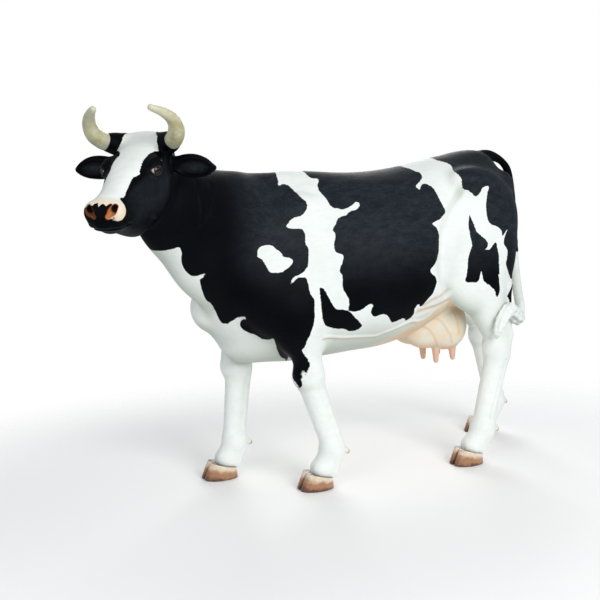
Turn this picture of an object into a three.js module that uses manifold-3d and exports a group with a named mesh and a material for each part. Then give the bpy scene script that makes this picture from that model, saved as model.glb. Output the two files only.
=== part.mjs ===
// A life-size painted resin statue of a horned black-and-white dairy cow. It stands in
// mid-step with its head turned to its left and the tuft of its tail laid over the left hock.
// Millimetres; +X is ahead, +Y is the cow's left, +Z is up, and the floor is z = 0.
//
// The flesh is one smooth solid. It is described by masses, which are lofts, ellipsoids and
// tapered limbs, joined by soft unions. Spheres wrapped round each part's middle line are
// pushed out to that surface, joined, and parted again by thin straight cuts.

import * as THREE from "three";
import { mergeVertices } from "three/addons/utils/BufferGeometryUtils.js";
import Module from "manifold-3d";

const wasm = await Module();
wasm.setup();

// ---- Driving dimensions ----------------------------------------------------------------

const GAP = 0.3; // between two pieces that touch
const SIDES = [1, -1]; // the cow's left and right

const POLL = [1019.6, 228.2, 1515.3]; // top of the head, between the horns
const HEAD_TURN = { yaw: 50.8, pitch: 25.6, roll: 1.4 }; // to the left, down, and leaning
const NECK_ROOT = [470, 8, 1070];
const NECK_TURN = { yaw: 19, pitch: -24 };

const EYE = { at: [188, 90, -50], radius: 24 };

// The ear: its middle, sections outwards along it as for the trunk below, and its hollow.
const EAR = {
  at: [50, 196, -108],
  turn: 6, // its tip leans ahead
  leaf: [
    [-78, 26, -26, 0, 16, 2, 2],
    [-50, 44, -42, 0, 24, 2, 2],
    [-18, 51, -46, 0, 27, 2, 2],
    [15, 49, -43, 0, 26, 2, 2],
    [45, 38, -36, 0, 21, 2, 2],
    [68, 22, -24, 0, 14, 2, 2],
    [84, 6, -9, 0, 6, 2, 2],
  ],
  root: { from: [42, 118, -96], to: [48, 165, -102], radii: [26, 24] },
  hollow: { at: [76, 194, -106], size: [36, 70, 38] },
};

// The swollen root of each horn: centre points and radii, ending where the horn comes out.
const CUFF = [
  [18, 76, -24, 39],
  [34, 106, -15, 35.5],
  [48, 124, -4, 33.4],
];

// Each claw is half of a rounded foot. Its cleft face, its toe and its outer wall lie this far
// to the side of the foot's middle. Then come its coronet's height at the toe and heel, and
// how far its toe, heel and outer wall lean in over the sole.
const CLAW = {
  length: 160, cleft: 3, tip: 15, outer: 63, toeHeight: 79, heelHeight: 44,
  toeRun: 34, heelRun: 4, outerRun: 4,
};
const DEWCLAW = { spread: 23, radii: [17, 11], from: [-46, 2], to: [-68, -14] };

// Left and right legs: where each joint lies along the body and above the floor, and how
// far to the side the leg stands.
const FORELEGS = {
  left: { y: 179, elbow: [345, 780], knee: [292, 508], fetlock: [180, 165], coronet: [232, 84] },
  right: { y: -146, elbow: [430, 780], knee: [486, 505], fetlock: [501, 165], coronet: [547, 84] },
};
const HINDLEGS = {
  left: { y: 200, stifle: [-510, 880], hock: [-690, 545], fetlock: [-625, 165], coronet: [-563, 82] },
  right: { y: -205, stifle: [-600, 870], hock: [-915, 525], fetlock: [-1003, 160], coronet: [-949, 82] },
};
const CLAWS_AHEAD = 28; // middle of the claws in front of the coronet's middle

const TEATS = [
  { name: "teat_front_left", root: [-448, 58, 540], tip: [-447, 64, 476] },
  { name: "teat_rear_left", root: [-540, 60, 540], tip: [-541, 66, 482] },
  { name: "teat_front_right", root: [-452, -58, 540], tip: [-462, -64, 468] },
  { name: "teat_rear_right", root: [-540, -60, 540], tip: [-548, -66, 480] },
];
const TEAT_RADII = [19, 12];

// Centre points and radii of the round, bent pieces.
const HORN = [
  [50, 127, -2, 32.8],
  [63, 142, 14, 32.8],
  [79, 160, 45, 31.2],
  [86, 165, 80, 27.2],
  [97, 156, 114, 22.5],
  [118, 135, 145, 17],
  [144, 109, 172, 12],
];
const TAIL = [
  [-720, 0, 1412, 44],
  [-775, 0, 1428, 25],
  [-836, 0, 1411, 16],
  [-882, 0, 1370, 16],
  [-900, 0, 1310, 19],
  [-908, 0, 1250, 21.5],
  [-914, 0, 1190, 24],
  [-924, 8, 1050, 24],
  [-926, 28, 900, 23],
  [-914, 70, 790, 22],
  [-890, 125, 708, 21],
  [-855, 165, 668, 21],
];
const SWITCH = [
  [-855, 165, 668, 24],
  [-790, 220, 680, 34],
  [-715, 262, 730, 30],
  [-655, 285, 700, 26],
  [-632, 285, 640, 18],
  [-628, 283, 600, 7],
];

// Trunk sections along the body: x, top, bottom, height of the widest place, half width, and
// how square the upper and lower halves are (2 is an ellipse).
const TRUNK = [
  [-880, 1262, 1100, 1200, 40, 2.0, 2.0],
  [-850, 1296, 1010, 1185, 82, 2.0, 2.0],
  [-800, 1352, 930, 1175, 128, 2.0, 2.0],
  [-720, 1424, 850, 1178, 185, 2.0, 2.0],
  [-600, 1440, 745, 1150, 235, 2.0, 2.0],
  [-480, 1428, 690, 1100, 258, 1.9, 2.0],
  [-370, 1408, 652, 1020, 290, 1.8, 2.1],
  [-250, 1383, 608, 980, 320, 1.8, 2.2],
  [-100, 1364, 576, 950, 338, 1.8, 2.3],
  [50, 1358, 566, 935, 330, 1.75, 2.3],
  [200, 1357, 552, 910, 292, 1.7, 2.2],
  [350, 1352, 545, 880, 238, 1.6, 2.1],
  [480, 1320, 575, 860, 195, 1.6, 2.0],
  [590, 1240, 625, 880, 160, 1.7, 2.0],
  [660, 1150, 700, 900, 120, 2.0, 2.0],
  [700, 1060, 800, 920, 60, 2.0, 2.0],
];
// Neck sections from the shoulders to the head, square to the neck's own line.
const NECK = [
  [-120, 245, -400, -20, 180, 1.7, 1.8],
  [60, 262, -352, -20, 166, 1.6, 1.7],
  [190, 244, -335, -20, 146, 1.6, 1.7],
  [290, 208, -308, -20, 132, 1.6, 1.8],
  [415, 167, -246, 0, 116, 1.7, 1.9],
  [540, 150, -192, 10, 100, 1.8, 2.0],
  [640, 100, -120, 10, 70, 2.0, 2.0],
];
// Head sections from the poll to the nose, square to the line of the face.
const SKULL = [
  [-72, -60, -190, -125, 46, 2.0, 2.0],
  [-40, -14, -240, -110, 88, 2.5, 2.0],
  [15, 4, -280, -98, 102, 2.8, 1.9],
  [90, 4, -302, -90, 106, 2.4, 1.8],
  [170, 0, -300, -84, 102, 2.3, 1.8],
  [250, -9, -288, -84, 84, 2.3, 1.8],
  [320, -17, -252, -86, 68, 2.3, 1.9],
  [385, -20, -204, -86, 60, 2.3, 2.0],
  [440, -20, -158, -84, 62, 2.3, 2.2],
  [476, -24, -136, -82, 60, 2.3, 2.3],
  [500, -44, -122, -85, 48, 2.2, 2.2],
  [513, -62, -108, -88, 26, 2.0, 2.0],
];

// ---- Frames ----------------------------------------------------------------------------

const rad = THREE.MathUtils.degToRad;

// A frame at a point: its axes run ahead, left and up before it is turned to the left by
// yaw, nose down by pitch and left side up by roll.
function frameAt(at, { yaw = 0, pitch = 0, roll = 0 } = {}, parent = null) {
  const turn = new THREE.Matrix4().makeRotationZ(rad(yaw));
  turn.multiply(new THREE.Matrix4().makeRotationY(rad(pitch)));
  turn.multiply(new THREE.Matrix4().makeRotationX(rad(roll)));
  const frame = new THREE.Matrix4().makeTranslation(...at).multiply(turn);
  return parent ? parent.clone().multiply(frame) : frame;
}

const HEAD = frameAt(POLL, HEAD_TURN);

function headPoint(a, l, n) {
  return new THREE.Vector3(a, l, n).applyMatrix4(HEAD).toArray();
}

// ---- Masses: each is a function of a point that is negative inside it -------------------

// Smooth values between the rows of a section table, column by column.
function between(rows) {
  const width = rows[0].length;
  const run = rows.slice(1).map((row, i) => row[0] - rows[i][0]);
  const slope = run.map((ds, i) => rows[i + 1].map((value, k) => (value - rows[i][k]) / ds));
  const tangent = rows.map((row, i) => {
    if (i === 0) return slope[0];
    if (i === run.length) return slope[i - 1];
    const whole = run[i - 1] + run[i];
    return row.map((_, k) => (slope[i - 1][k] * run[i] + slope[i][k] * run[i - 1]) / whole);
  });
  const out = new Array(width);
  return (s) => {
    let i = 0;
    while (i < run.length - 1 && s > rows[i + 1][0]) i += 1;
    const t = (s - rows[i][0]) / run[i];
    const h00 = (1 + 2 * t) * (1 - t) ** 2;
    const h10 = t * (1 - t) ** 2 * run[i];
    const h01 = t * t * (3 - 2 * t);
    const h11 = t * t * (t - 1) * run[i];
    for (let k = 0; k < width; k += 1) {
      const start = h00 * rows[i][k] + h10 * tangent[i][k];
      out[k] = start + h01 * rows[i + 1][k] + h11 * tangent[i + 1][k];
    }
    return out;
  };
}

// A run of superellipse sections along a frame's first axis.
function loft(rows, frame = new THREE.Matrix4()) {
  const inverse = frame.clone().invert();
  const section = between(rows);
  const first = rows[0][0];
  const last = rows.at(-1)[0];
  const q = new THREE.Vector3();
  return (point) => {
    q.copy(point).applyMatrix4(inverse);
    const s = Math.min(Math.max(q.x, first), last);
    const [, top, bottom, wide, half, squareTop, squareBottom] = section(s);
    const up = q.z > wide;
    const height = up ? top - wide : wide - bottom;
    const power = up ? squareTop : squareBottom;
    const u = Math.abs(q.y) / Math.max(half, 1) + 1e-4;
    const w = Math.abs(q.z - wide) / Math.max(height, 1) + 1e-4;
    const size = (u ** power + w ** power) ** (1 / power);
    const r = Math.hypot(q.y, q.z - wide) + 1e-2;
    const across = r - r / size;
    const beyond = Math.abs(q.x - s);
    return beyond > 0 ? Math.hypot(Math.max(across, 0), beyond) : across;
  };
}

function ball(at, [a, b, c], turn = {}, parent = null) {
  const inverse = frameAt(at, turn, parent).invert();
  const q = new THREE.Vector3();
  return (point) => {
    q.copy(point).applyMatrix4(inverse);
    const k0 = Math.hypot(q.x / a, q.y / b, q.z / c) + 1e-6;
    const k1 = Math.hypot(q.x / (a * a), q.y / (b * b), q.z / (c * c)) + 1e-6;
    return (k0 * (k0 - 1)) / k1;
  };
}

// A tapered capsule, pressed flatter from side to side by "flat".
function limb(from, r0, to, r1, flat = 1) {
  const start = new THREE.Vector3(...from);
  const run = new THREE.Vector3(...to).sub(start);
  const length2 = run.lengthSq();
  const q = new THREE.Vector3();
  return (point) => {
    q.copy(point).sub(start);
    const t = Math.min(Math.max(q.dot(run) / length2, 0), 1);
    q.addScaledVector(run, -t);
    return (Math.hypot(q.x, q.y / flat, q.z) - (r0 + (r1 - r0) * t)) * Math.min(1, flat);
  };
}

// Limbs through a list of [x, y, z, radius] rows.
function rope(rows, soft) {
  const links = rows.slice(1).map((row, i) => {
    const [x, y, z, r] = rows[i];
    return limb([x, y, z], r, row.slice(0, 3), row[3]);
  });
  return group(links, soft);
}

// Joins all of the masses at once, rounding the creases over about "soft" millimetres.
function group(masses, soft) {
  return (point) => {
    const depths = masses.map((mass) => mass(point));
    const least = Math.min(...depths);
    const sum = depths.reduce((total, d) => total + Math.exp((least - d) / soft), 0);
    return least - soft * Math.log(sum);
  };
}

// Joins two masses with a fillet up to "soft" wide.
function blend(a, b, soft) {
  return (point) => {
    const da = a(point);
    const db = b(point);
    const h = Math.max(soft - Math.abs(da - db), 0) / soft;
    return Math.min(da, db) - (h * h * soft) / 4;
  };
}

// ---- The flesh --------------------------------------------------------------------------

function trunkMass() {
  const masses = [
    loft(TRUNK),
    ball([300, 0, 1300], [190, 46, 50]), // withers
    ball([-662, 0, 1384], [100, 82, 55]), // croup
    ball([468, 0, 668], [150, 95, 105], { pitch: 22 }), // brisket
    ball([642, 0, 800], [108, 82, 108]), // breast
  ];
  for (const side of SIDES) {
    masses.push(
      ball([375, side * 132, 1060], [120, 60, 220], { pitch: -22 }), // shoulder blade
      ball([490, side * 160, 900], [130, 72, 150]), // point of the shoulder
      ball([380, side * 180, 800], [165, 72, 125]), // upper arm
      ball([-550, side * 190, 1315], [120, 60, 60], { pitch: -8 }), // hip bone
      ball([-790, side * 92, 1290], [48, 42, 60]), // pin bone
      ball([-640, side * 165, 1150], [150, 85, 170]), // rump
      ball([-600, side * 180, 960], [175, 88, 230]), // thigh
      ball([-715, side * 140, 1050], [90, 76, 220]), // back of the thigh
    );
  }
  return group(masses, 24);
}

function headMass() {
  const at = (point, radii) => ball(point, radii, {}, HEAD);
  const masses = [
    loft(SKULL, HEAD),
    at([-18, 0, -20], [26, 92, 22]), // the flat ridge of the poll
    at([432, 0, -138], [44, 38, 20]), // chin
  ];
  for (const side of SIDES) {
    const [inner, middle, outer] = CUFF.map(([a, l, n]) => headPoint(a, side * l, n));
    const [innerRadius, middleRadius, outerRadius] = CUFF.map((row) => row[3]);
    masses.push(
      at([168, side * 88, -42], [46, 24, 30]), // brow
      at([165, side * 66, -165], [95, 36, 80]), // cheek
      at([470, side * 44, -62], [36, 27, 32]), // nostril
      at([448, side * 40, -106], [46, 30, 24]), // lip
      limb(inner, innerRadius, middle, middleRadius),
      limb(middle, middleRadius, outer, outerRadius),
    );
  }
  return group(masses, 8);
}

function udderMass() {
  const masses = [ball([-440, 0, 685], [195, 112, 145])];
  for (const side of SIDES) {
    masses.push(ball([-390, side * 56, 645], [120, 68, 105])); // fore quarter
    masses.push(ball([-505, side * 57, 632], [108, 69, 108])); // rear quarter
  }
  return group(masses, 10);
}

function forelegMass({ y, elbow, knee, fetlock, coronet }) {
  const side = Math.sign(y);
  const at = (joint, ahead, up, out = 0) => [joint[0] + ahead, y + side * out, joint[1] + up];
  return group(
    [
      limb(at(elbow, 0, 0, 6), 98, at(knee, 6, 60), 63, 0.8), // forearm
      ball(at(elbow, 5, -60, 8), [90, 60, 120]),
      ball(at(knee, 2, 0), [72, 62, 66]),
      limb(at(knee, -2, -30), 52, at(fetlock, 8, 30), 42, 0.92), // cannon bone
      limb(at(knee, -30, -40), 34, at(fetlock, -18, 30), 32), // tendons behind it
      ball(at(fetlock, -3, 0), [56, 55, 52]),
      limb(at(fetlock, 8, -25), 44, at(coronet, 0, 0), 48), // pastern
      limb(at(fetlock, -22, -40), 34, at(coronet, -44, -14), 37), // heel
    ],
    9,
  );
}

function hindlegMass({ y, stifle, hock, fetlock, coronet }) {
  const side = Math.sign(y);
  const at = (joint, ahead, up, out = 0) => [joint[0] + ahead, y + side * out, joint[1] + up];
  return group(
    [
      ball(at(stifle, 0, 0, 10), [115, 76, 165], { pitch: 20 }),
      limb(at(stifle, -60, -20, 4), 120, at(hock, 8, 70), 62, 0.72), // gaskin
      limb(at(stifle, -215, -60, -20), 50, at(hock, -56, 55), 28), // hamstring
      ball(at(hock, 2, 0), [66, 56, 72]),
      limb(at(hock, -60, 50), 30, at(hock, -30, -40), 38), // point of the hock
      limb(at(hock, -5, -30), 54, at(fetlock, 4, 30), 43, 0.9), // cannon bone
      limb(at(hock, -32, -50), 36, at(fetlock, -22, 30), 33), // tendons behind it
      ball(at(fetlock, -3, 0), [60, 57, 55]),
      limb(at(fetlock, 8, -25), 46, at(coronet, 0, 0), 50), // pastern
      limb(at(fetlock, -22, -40), 34, at(coronet, -44, -14), 38), // heel
    ],
    9,
  );
}

const trunk = trunkMass();
const neck = loft(NECK, frameAt(NECK_ROOT, NECK_TURN));
const head = headMass();
const udder = udderMass();
const tail = rope(TAIL, 8);
const legs = {
  front_left: { mass: forelegMass(FORELEGS.left), ...FORELEGS.left },
  front_right: { mass: forelegMass(FORELEGS.right), ...FORELEGS.right },
  hind_left: { mass: hindlegMass(HINDLEGS.left), ...HINDLEGS.left },
  hind_right: { mass: hindlegMass(HINDLEGS.right), ...HINDLEGS.right },
};

function fleshMass() {
  let all = blend(trunk, neck, 60);
  all = blend(all, head, 35);
  for (const leg of Object.values(legs)) all = blend(all, leg.mass, 45);
  all = blend(all, udder, 25);
  return blend(all, tail, 8);
}

const flesh = fleshMass();

// ---- Shells -----------------------------------------------------------------------------

// How far a ray from a point inside the mass runs before it leaves the mass.
function reach(mass, from, direction) {
  const point = new THREE.Vector3();
  const depth = (r) => mass(point.copy(from).addScaledVector(direction, r));
  let r = 0;
  for (let d = depth(0); d < 0 && r < 2000; d = depth(r)) r += Math.max(1, -0.6 * d);
  let inside = Math.max(r - 60, 0);
  while (inside > 0 && depth(inside) > 0) inside = Math.max(inside - 20, 0);
  let outside = r;
  for (let i = 0; i < 24; i += 1) {
    const middle = (inside + outside) / 2;
    if (depth(middle) < 0) inside = middle;
    else outside = middle;
  }
  return inside;
}

// A sphere whose poles are the ends of a line and whose rings are spread along it, with each
// vertex pushed out to the mass's surface. The first and last "caps" rings close its ends, and
// "level" is the direction that its first meridian faces.
function shell(line, mass, { rings, around, caps = 3, level = [0, 1, 0] }) {
  const sphere = new THREE.SphereGeometry(1, around, rings);
  sphere.deleteAttribute("normal");
  sphere.deleteAttribute("uv");
  const geometry = mergeVertices(sphere);
  const swell = 1 / Math.cos(Math.PI / around); // so that flat faces lie on the round mass
  const curve = new THREE.CatmullRomCurve3(line.map((p) => new THREE.Vector3(p[0], p[1], p[2])));
  const position = geometry.attributes.position;
  const vertex = new THREE.Vector3();
  for (let i = 0; i < position.count; i += 1) {
    vertex.fromBufferAttribute(position, i);
    const ring = (Math.acos(THREE.MathUtils.clamp(vertex.y, -1, 1)) / Math.PI) * rings;
    const t = THREE.MathUtils.clamp((ring - caps) / (rings - 2 * caps), 0, 1);
    const before = Math.max(caps - ring, 0);
    const after = Math.max(ring - (rings - caps), 0);
    const tilt = ((after - before) / caps) * (Math.PI / 2);
    const tangent = curve.getTangent(t);
    const across = new THREE.Vector3(...level).projectOnPlane(tangent).normalize();
    const up = new THREE.Vector3().crossVectors(tangent, across);
    const angle = Math.atan2(vertex.z, vertex.x);
    const direction = across.multiplyScalar(Math.cos(angle)).addScaledVector(up, Math.sin(angle));
    direction.multiplyScalar(Math.cos(tilt)).addScaledVector(tangent, Math.sin(tilt)).normalize();
    const start = curve.getPoint(t);
    vertex.copy(start).addScaledVector(direction, reach(mass, start, direction) * swell);
    position.setXYZ(i, vertex.x, vertex.y, vertex.z);
  }
  return geometry;
}

// The flesh near one of its parts: the whole surface, but no more than "fillet" off the part.
function near(part, fillet) {
  return (point) => Math.max(flesh(point), part(point) - fillet);
}

// ---- Solids -----------------------------------------------------------------------------

function solid(geometry) {
  const bare = geometry.clone();
  bare.deleteAttribute("normal");
  bare.deleteAttribute("uv");
  const merged = mergeVertices(bare, 1e-3);
  const mesh = new wasm.Mesh({
    numProp: 3,
    vertProperties: new Float32Array(merged.attributes.position.array),
    triVerts: new Uint32Array(merged.index.array),
  });
  return new wasm.Manifold(mesh);
}

function geometryOf(manifold) {
  const mesh = manifold.getMesh();
  const geometry = new THREE.BufferGeometry();
  const positions = new Float32Array(mesh.vertProperties);
  geometry.setAttribute("position", new THREE.BufferAttribute(positions, 3));
  geometry.setIndex(new THREE.BufferAttribute(new Uint32Array(mesh.triVerts), 1));
  geometry.computeVertexNormals();
  return geometry;
}

// The largest closed body, without the specks that a cut leaves beside it.
function mainBody(manifold) {
  const larger = (a, b) => (b.volume() > a.volume() ? b : a);
  return manifold.decompose().reduce(larger);
}

// A box from its lowest to its highest corner in a frame, larger by "grow" on every side.
function block({ low, high, frame = new THREE.Matrix4() }, grow = 0) {
  const size = high.map((value, i) => value - low[i] + 2 * grow);
  const middle = high.map((value, i) => (value + low[i]) / 2);
  const geometry = new THREE.BoxGeometry(...size);
  geometry.translate(...middle);
  geometry.applyMatrix4(frame);
  return solid(geometry);
}

// A piece seated in the flesh: its own shell, and the hole that it leaves with the gap.
function seated(name, look, line, mass, options) {
  const grown = (point) => mass(point) - GAP;
  return { name, look, piece: shell(line, mass, options), hole: shell(line, grown, options) };
}

// ---- Looks ------------------------------------------------------------------------------

function look(color, roughness, metalness = 0) {
  return { color, roughness, metalness };
}

const LOOKS = {
  white: look("#dfe5e0", 0.45),
  black: look("#22262c", 0.4),
  udder: look("#ecd6c4", 0.45),
  horn: look("#c9c6a2", 0.35),
  hoof: look("#a9795a", 0.3),
  eye: look("#120d0a", 0.08),
};

// ---- Seated pieces: horns, eyes, dewclaws, teats and the tail's tuft ---------------------

const sideName = (side) => (side > 0 ? "left" : "right");

function hornLine(side) {
  return HORN.map(([a, l, n, r]) => [...headPoint(a, side * l, n), r]);
}

function hornPieces() {
  return SIDES.map((side) => {
    const line = hornLine(side);
    const options = { rings: 12, around: 9, caps: 2, level: [1, 0, 0] };
    return seated(`horn_${sideName(side)}`, "horn", line, rope(line, 5), options);
  });
}

function eyePieces() {
  const [a, l, n] = EYE.at;
  return SIDES.map((side) => {
    const at = headPoint(a, side * l, n);
    const sphere = (radius) => {
      const geometry = new THREE.SphereGeometry(radius, 8, 6);
      geometry.translate(...at);
      return geometry;
    };
    return {
      name: `eye_${sideName(side)}`,
      look: "eye",
      piece: sphere(EYE.radius),
      hole: sphere(EYE.radius + GAP),
    };
  });
}

function dewclawPieces() {
  const pieces = [];
  for (const [place, { y, fetlock }] of Object.entries(legs)) {
    for (const side of SIDES) {
      const across = y + side * DEWCLAW.spread;
      const behind = ([ahead, up]) => [fetlock[0] + ahead, across, fetlock[1] + up];
      const from = behind(DEWCLAW.from);
      const to = behind(DEWCLAW.to);
      const mass = limb(from, DEWCLAW.radii[0], to, DEWCLAW.radii[1]);
      const name = `dewclaw_${place}_${side * y < 0 ? "inner" : "outer"}`;
      pieces.push(seated(name, "hoof", [from, to], mass, { rings: 5, around: 6, caps: 2 }));
    }
  }
  return pieces;
}

function teatPieces() {
  return TEATS.map(({ name, root, tip }) => {
    const mass = limb(root, TEAT_RADII[0], tip, TEAT_RADII[1]);
    return seated(name, "udder", [root, tip], mass, { rings: 6, around: 6, caps: 2 });
  });
}

const switchShell = { rings: 13, around: 8, caps: 2 };
const switchPiece = seated("tail_switch", "white", SWITCH, rope(SWITCH, 8), switchShell);
const seatedPieces = [
  ...hornPieces(),
  ...eyePieces(),
  ...dewclawPieces(),
  ...teatPieces(),
  switchPiece,
];

// ---- Claws: a flat sole, a wall that slopes back, and a top on the slanted coronet --------

const clawSlope = (CLAW.toeHeight - CLAW.heelHeight) / (CLAW.length - CLAW.toeRun);

// The claw's outline at a share of its height, out from the foot's middle on one side: round
// along its outer wall and heel, and nearly straight along the cleft.
function clawOutline(angle, share, side) {
  const heel = CLAW.length / 2 - CLAW.heelRun * share;
  const toe = CLAW.length / 2 - CLAW.toeRun * share;
  const ahead = Math.cos(angle);
  const out = side * Math.sin(angle);
  const power = ahead > 0 ? 1.2 : 0.95;
  const x = (ahead > 0 ? toe : heel) * Math.sign(ahead) * Math.abs(ahead) ** power;
  const wall = (CLAW.outer - CLAW.outerRun * share - CLAW.tip) * Math.abs(out) ** 0.9;
  const cleft = (CLAW.tip - CLAW.cleft) * Math.abs(out) ** 0.45;
  const y = side * (CLAW.tip + (out > 0 ? wall : -cleft));
  const top = CLAW.heelHeight + (x + CLAW.length / 2) * clawSlope;
  return [x, y, top * share];
}

function claw(x, y, side) {
  const [around, rings] = [12, 2];
  const geometry = new THREE.CylinderGeometry(1, 1, 1, around, rings);
  geometry.rotateX(Math.PI / 2);
  const position = geometry.attributes.position;
  for (let i = 0; i < position.count; i += 1) {
    const share = position.getZ(i) + 0.5;
    const radius = Math.hypot(position.getX(i), position.getY(i));
    const angle = Math.atan2(position.getY(i), position.getX(i));
    const [px, py, pz] = clawOutline(angle, share, side);
    const middleTop = CLAW.heelHeight + (CLAW.length / 2) * clawSlope;
    if (radius > 0.5) position.setXYZ(i, x + px, y + py, pz);
    else position.setXYZ(i, x, y + side * CLAW.tip, middleTop * share);
  }
  return geometry;
}

const clawPieces = [];
const coronetCuts = [];
for (const [place, { y, coronet }] of Object.entries(legs)) {
  const x = coronet[0] + CLAWS_AHEAD;
  for (const side of SIDES) {
    const name = `hoof_${place}_${side * y < 0 ? "inner" : "outer"}`;
    clawPieces.push({ name, look: "hoof", piece: claw(x, y, side) });
  }
  const slant = THREE.MathUtils.radToDeg(Math.atan(clawSlope));
  const heelTop = [x - CLAW.length / 2, y, CLAW.heelHeight + GAP];
  coronetCuts.push({
    low: [-100, -120, -160],
    high: [260, 120, 0],
    frame: frameAt(heelTop, { pitch: -slant }),
  });
}

// ---- The body: every part's shell joined into one solid ------------------------------------

const neckLine = [
  [350, 0, 1010],
  [560, 30, 1090],
  [760, 95, 1180],
  [900, 140, 1290],
];
const skullLine = [
  [-20, -120],
  [90, -140],
  [240, -130],
  [380, -105],
  [470, -85],
].map(([a, n]) => headPoint(a, 0, n));
const trunkLine = TRUNK.slice(1, -1).map(([x, , , wide]) => [x, 0, wide]);
const udderLine = [
  [-320, 0, 660],
  [-440, 0, 650],
  [-560, 0, 660],
];

function legLine(leg) {
  const top = leg.elbow ?? leg.stifle;
  const bend = leg.knee ?? leg.hock;
  const points = [top, bend, leg.fetlock, leg.coronet];
  const line = points.map(([x, z]) => [x, leg.y, z]);
  const [a, b] = line;
  line.splice(1, 0, [(a[0] + b[0]) / 2, leg.y, (a[2] + b[2]) / 2]);
  const [c, d] = [line[2], line[3]];
  line.splice(3, 0, [(c[0] + d[0]) / 2, leg.y, (c[2] + d[2]) / 2]);
  return line;
}

function earShell(side) {
  const place = ([a, l, n]) => [a, side * l, n];
  const { root, hollow } = EAR;
  const [from, to] = [headPoint(...place(root.from)), headPoint(...place(root.to))];
  const frame = frameAt(place(EAR.at), { yaw: side * (90 - EAR.turn) }, HEAD);
  const leaf = blend(loft(EAR.leaf, frame), limb(from, root.radii[0], to, root.radii[1]), 20);
  const [a, l, n] = EAR.at;
  const line = [-74, -31, 19, 66].map((out) => headPoint(a - 4, side * (l + out), n));
  const outside = solid(shell(line, leaf, { rings: 9, around: 9, level: [0, 0, 1] }));
  const cup = new THREE.SphereGeometry(1, 10, 6);
  cup.scale(...hollow.size);
  cup.applyMatrix4(frameAt(place(hollow.at), { yaw: -side * EAR.turn }, HEAD));
  return outside.subtract(solid(cup));
}

let body = solid(shell(trunkLine, trunk, { rings: 21, around: 20 }));
body = body.add(solid(shell(neckLine, near(neck, 24), { rings: 10, around: 18 })));
body = body.add(solid(shell(skullLine, head, { rings: 19, around: 20 })));
body = body.add(solid(shell(udderLine, near(udder, 10), { rings: 10, around: 14 })));
body = body.add(solid(shell(TAIL, near(tail, 6), { rings: 20, around: 7, caps: 2 })));
for (const leg of Object.values(legs)) {
  body = body.add(solid(shell(legLine(leg), near(leg.mass, 24), { rings: 18, around: 10, caps: 2 })));
}
for (const side of SIDES) body = body.add(earShell(side));
for (const { hole } of seatedPieces) body = body.subtract(solid(hole));
for (const cut of coronetCuts) body = body.subtract(block(cut));

// ---- Parting: each part is what one box holds, in this order; the trunk is what is left -----

const FAR = 1200;

function legCuts(place) {
  const { y, elbow, stifle, knee, hock } = legs[place];
  const side = Math.sign(y);
  const joint = knee ?? hock;
  const top = elbow ? 800 : 930;
  const inner = elbow ? 92 : 128;
  const [back, front] = elbow ? [elbow[0] - 190, elbow[0] + 185] : [stifle[0] - 500, stifle[0] + 150];
  const across = side > 0 ? [inner, 420] : [-420, -inner];
  const below = joint[1] - 62;
  return [
    {
      name: `leg_${place}_lower`,
      look: "white",
      low: [joint[0] - 320, Math.min(y - 110, y + 110), -50],
      high: [joint[0] + 250, Math.max(y - 110, y + 110), below],
    },
    {
      name: `leg_${place}_upper`,
      look: elbow ? "black" : "white",
      low: [back, across[0], below - 60],
      high: [front, across[1], top],
    },
  ];
}

const cuts = [
  ...SIDES.map((side) => ({
    name: `ear_${sideName(side)}`,
    look: "black",
    low: [-60, side > 0 ? 128 : -FAR, -190],
    high: [150, side > 0 ? FAR : -128, -54],
    frame: HEAD,
  })),
  {
    name: "head",
    look: "black",
    low: [-87, -500, -700],
    high: [FAR, 500, 400],
    frame: frameAt(POLL, { yaw: HEAD_TURN.yaw }),
  },
  {
    name: "neck",
    look: "black",
    low: [0, -700, -500],
    high: [FAR, 700, 800],
    frame: frameAt([600, 0, 1107], { pitch: -26 }),
  },
  {
    name: "tail_dock",
    look: "black",
    low: [-300, -60, -20],
    high: [0, 60, 300],
    frame: frameAt([-800, 0, 1290], { pitch: 30 }),
  },
  {
    name: "tail",
    look: "white",
    low: [-FAR, -60, 560],
    high: [-886, 260, 1330],
  },
  {
    name: "udder",
    look: "udder",
    low: [-700, -127, -300],
    high: [20, 127, 0],
    frame: frameAt([-200, 0, 607], { pitch: 19 }),
  },
  ...Object.keys(legs).flatMap(legCuts),
];

// ---- The scene graph -------------------------------------------------------------------------

const cow = new THREE.Group();
cow.name = "cow_statue";

function place(name, lookName, geometry) {
  const mesh = new THREE.Mesh(geometry, new THREE.MeshStandardMaterial(LOOKS[lookName]));
  mesh.name = name;
  cow.add(mesh);
}

for (const cut of cuts) {
  place(cut.name, cut.look, geometryOf(mainBody(body.intersect(block(cut)))));
  body = body.subtract(block(cut, GAP));
}
place("trunk", "white", geometryOf(mainBody(body)));
for (const { name, look: lookName, piece } of [...seatedPieces, ...clawPieces]) {
  place(name, lookName, piece);
}

// The origin is on the floor under the middle of the whole statue.
const bounds = new THREE.Box3().setFromObject(cow);
cow.position.set(-(bounds.min.x + bounds.max.x) / 2, -(bounds.min.y + bounds.max.y) / 2, 0);

export default cow;
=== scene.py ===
# A life-size painted resin statue of a horned black-and-white dairy cow, in metres, in the
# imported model's frame. Shapes are worked out in millimetres in the moulder's frame, whose
# origin is on the floor under the cow's back, and are moved into place as they are meshed.

import math
from concurrent.futures import ThreadPoolExecutor

import bpy
import numpy as np
import openvdb
from mathutils import Matrix, Vector


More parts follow.
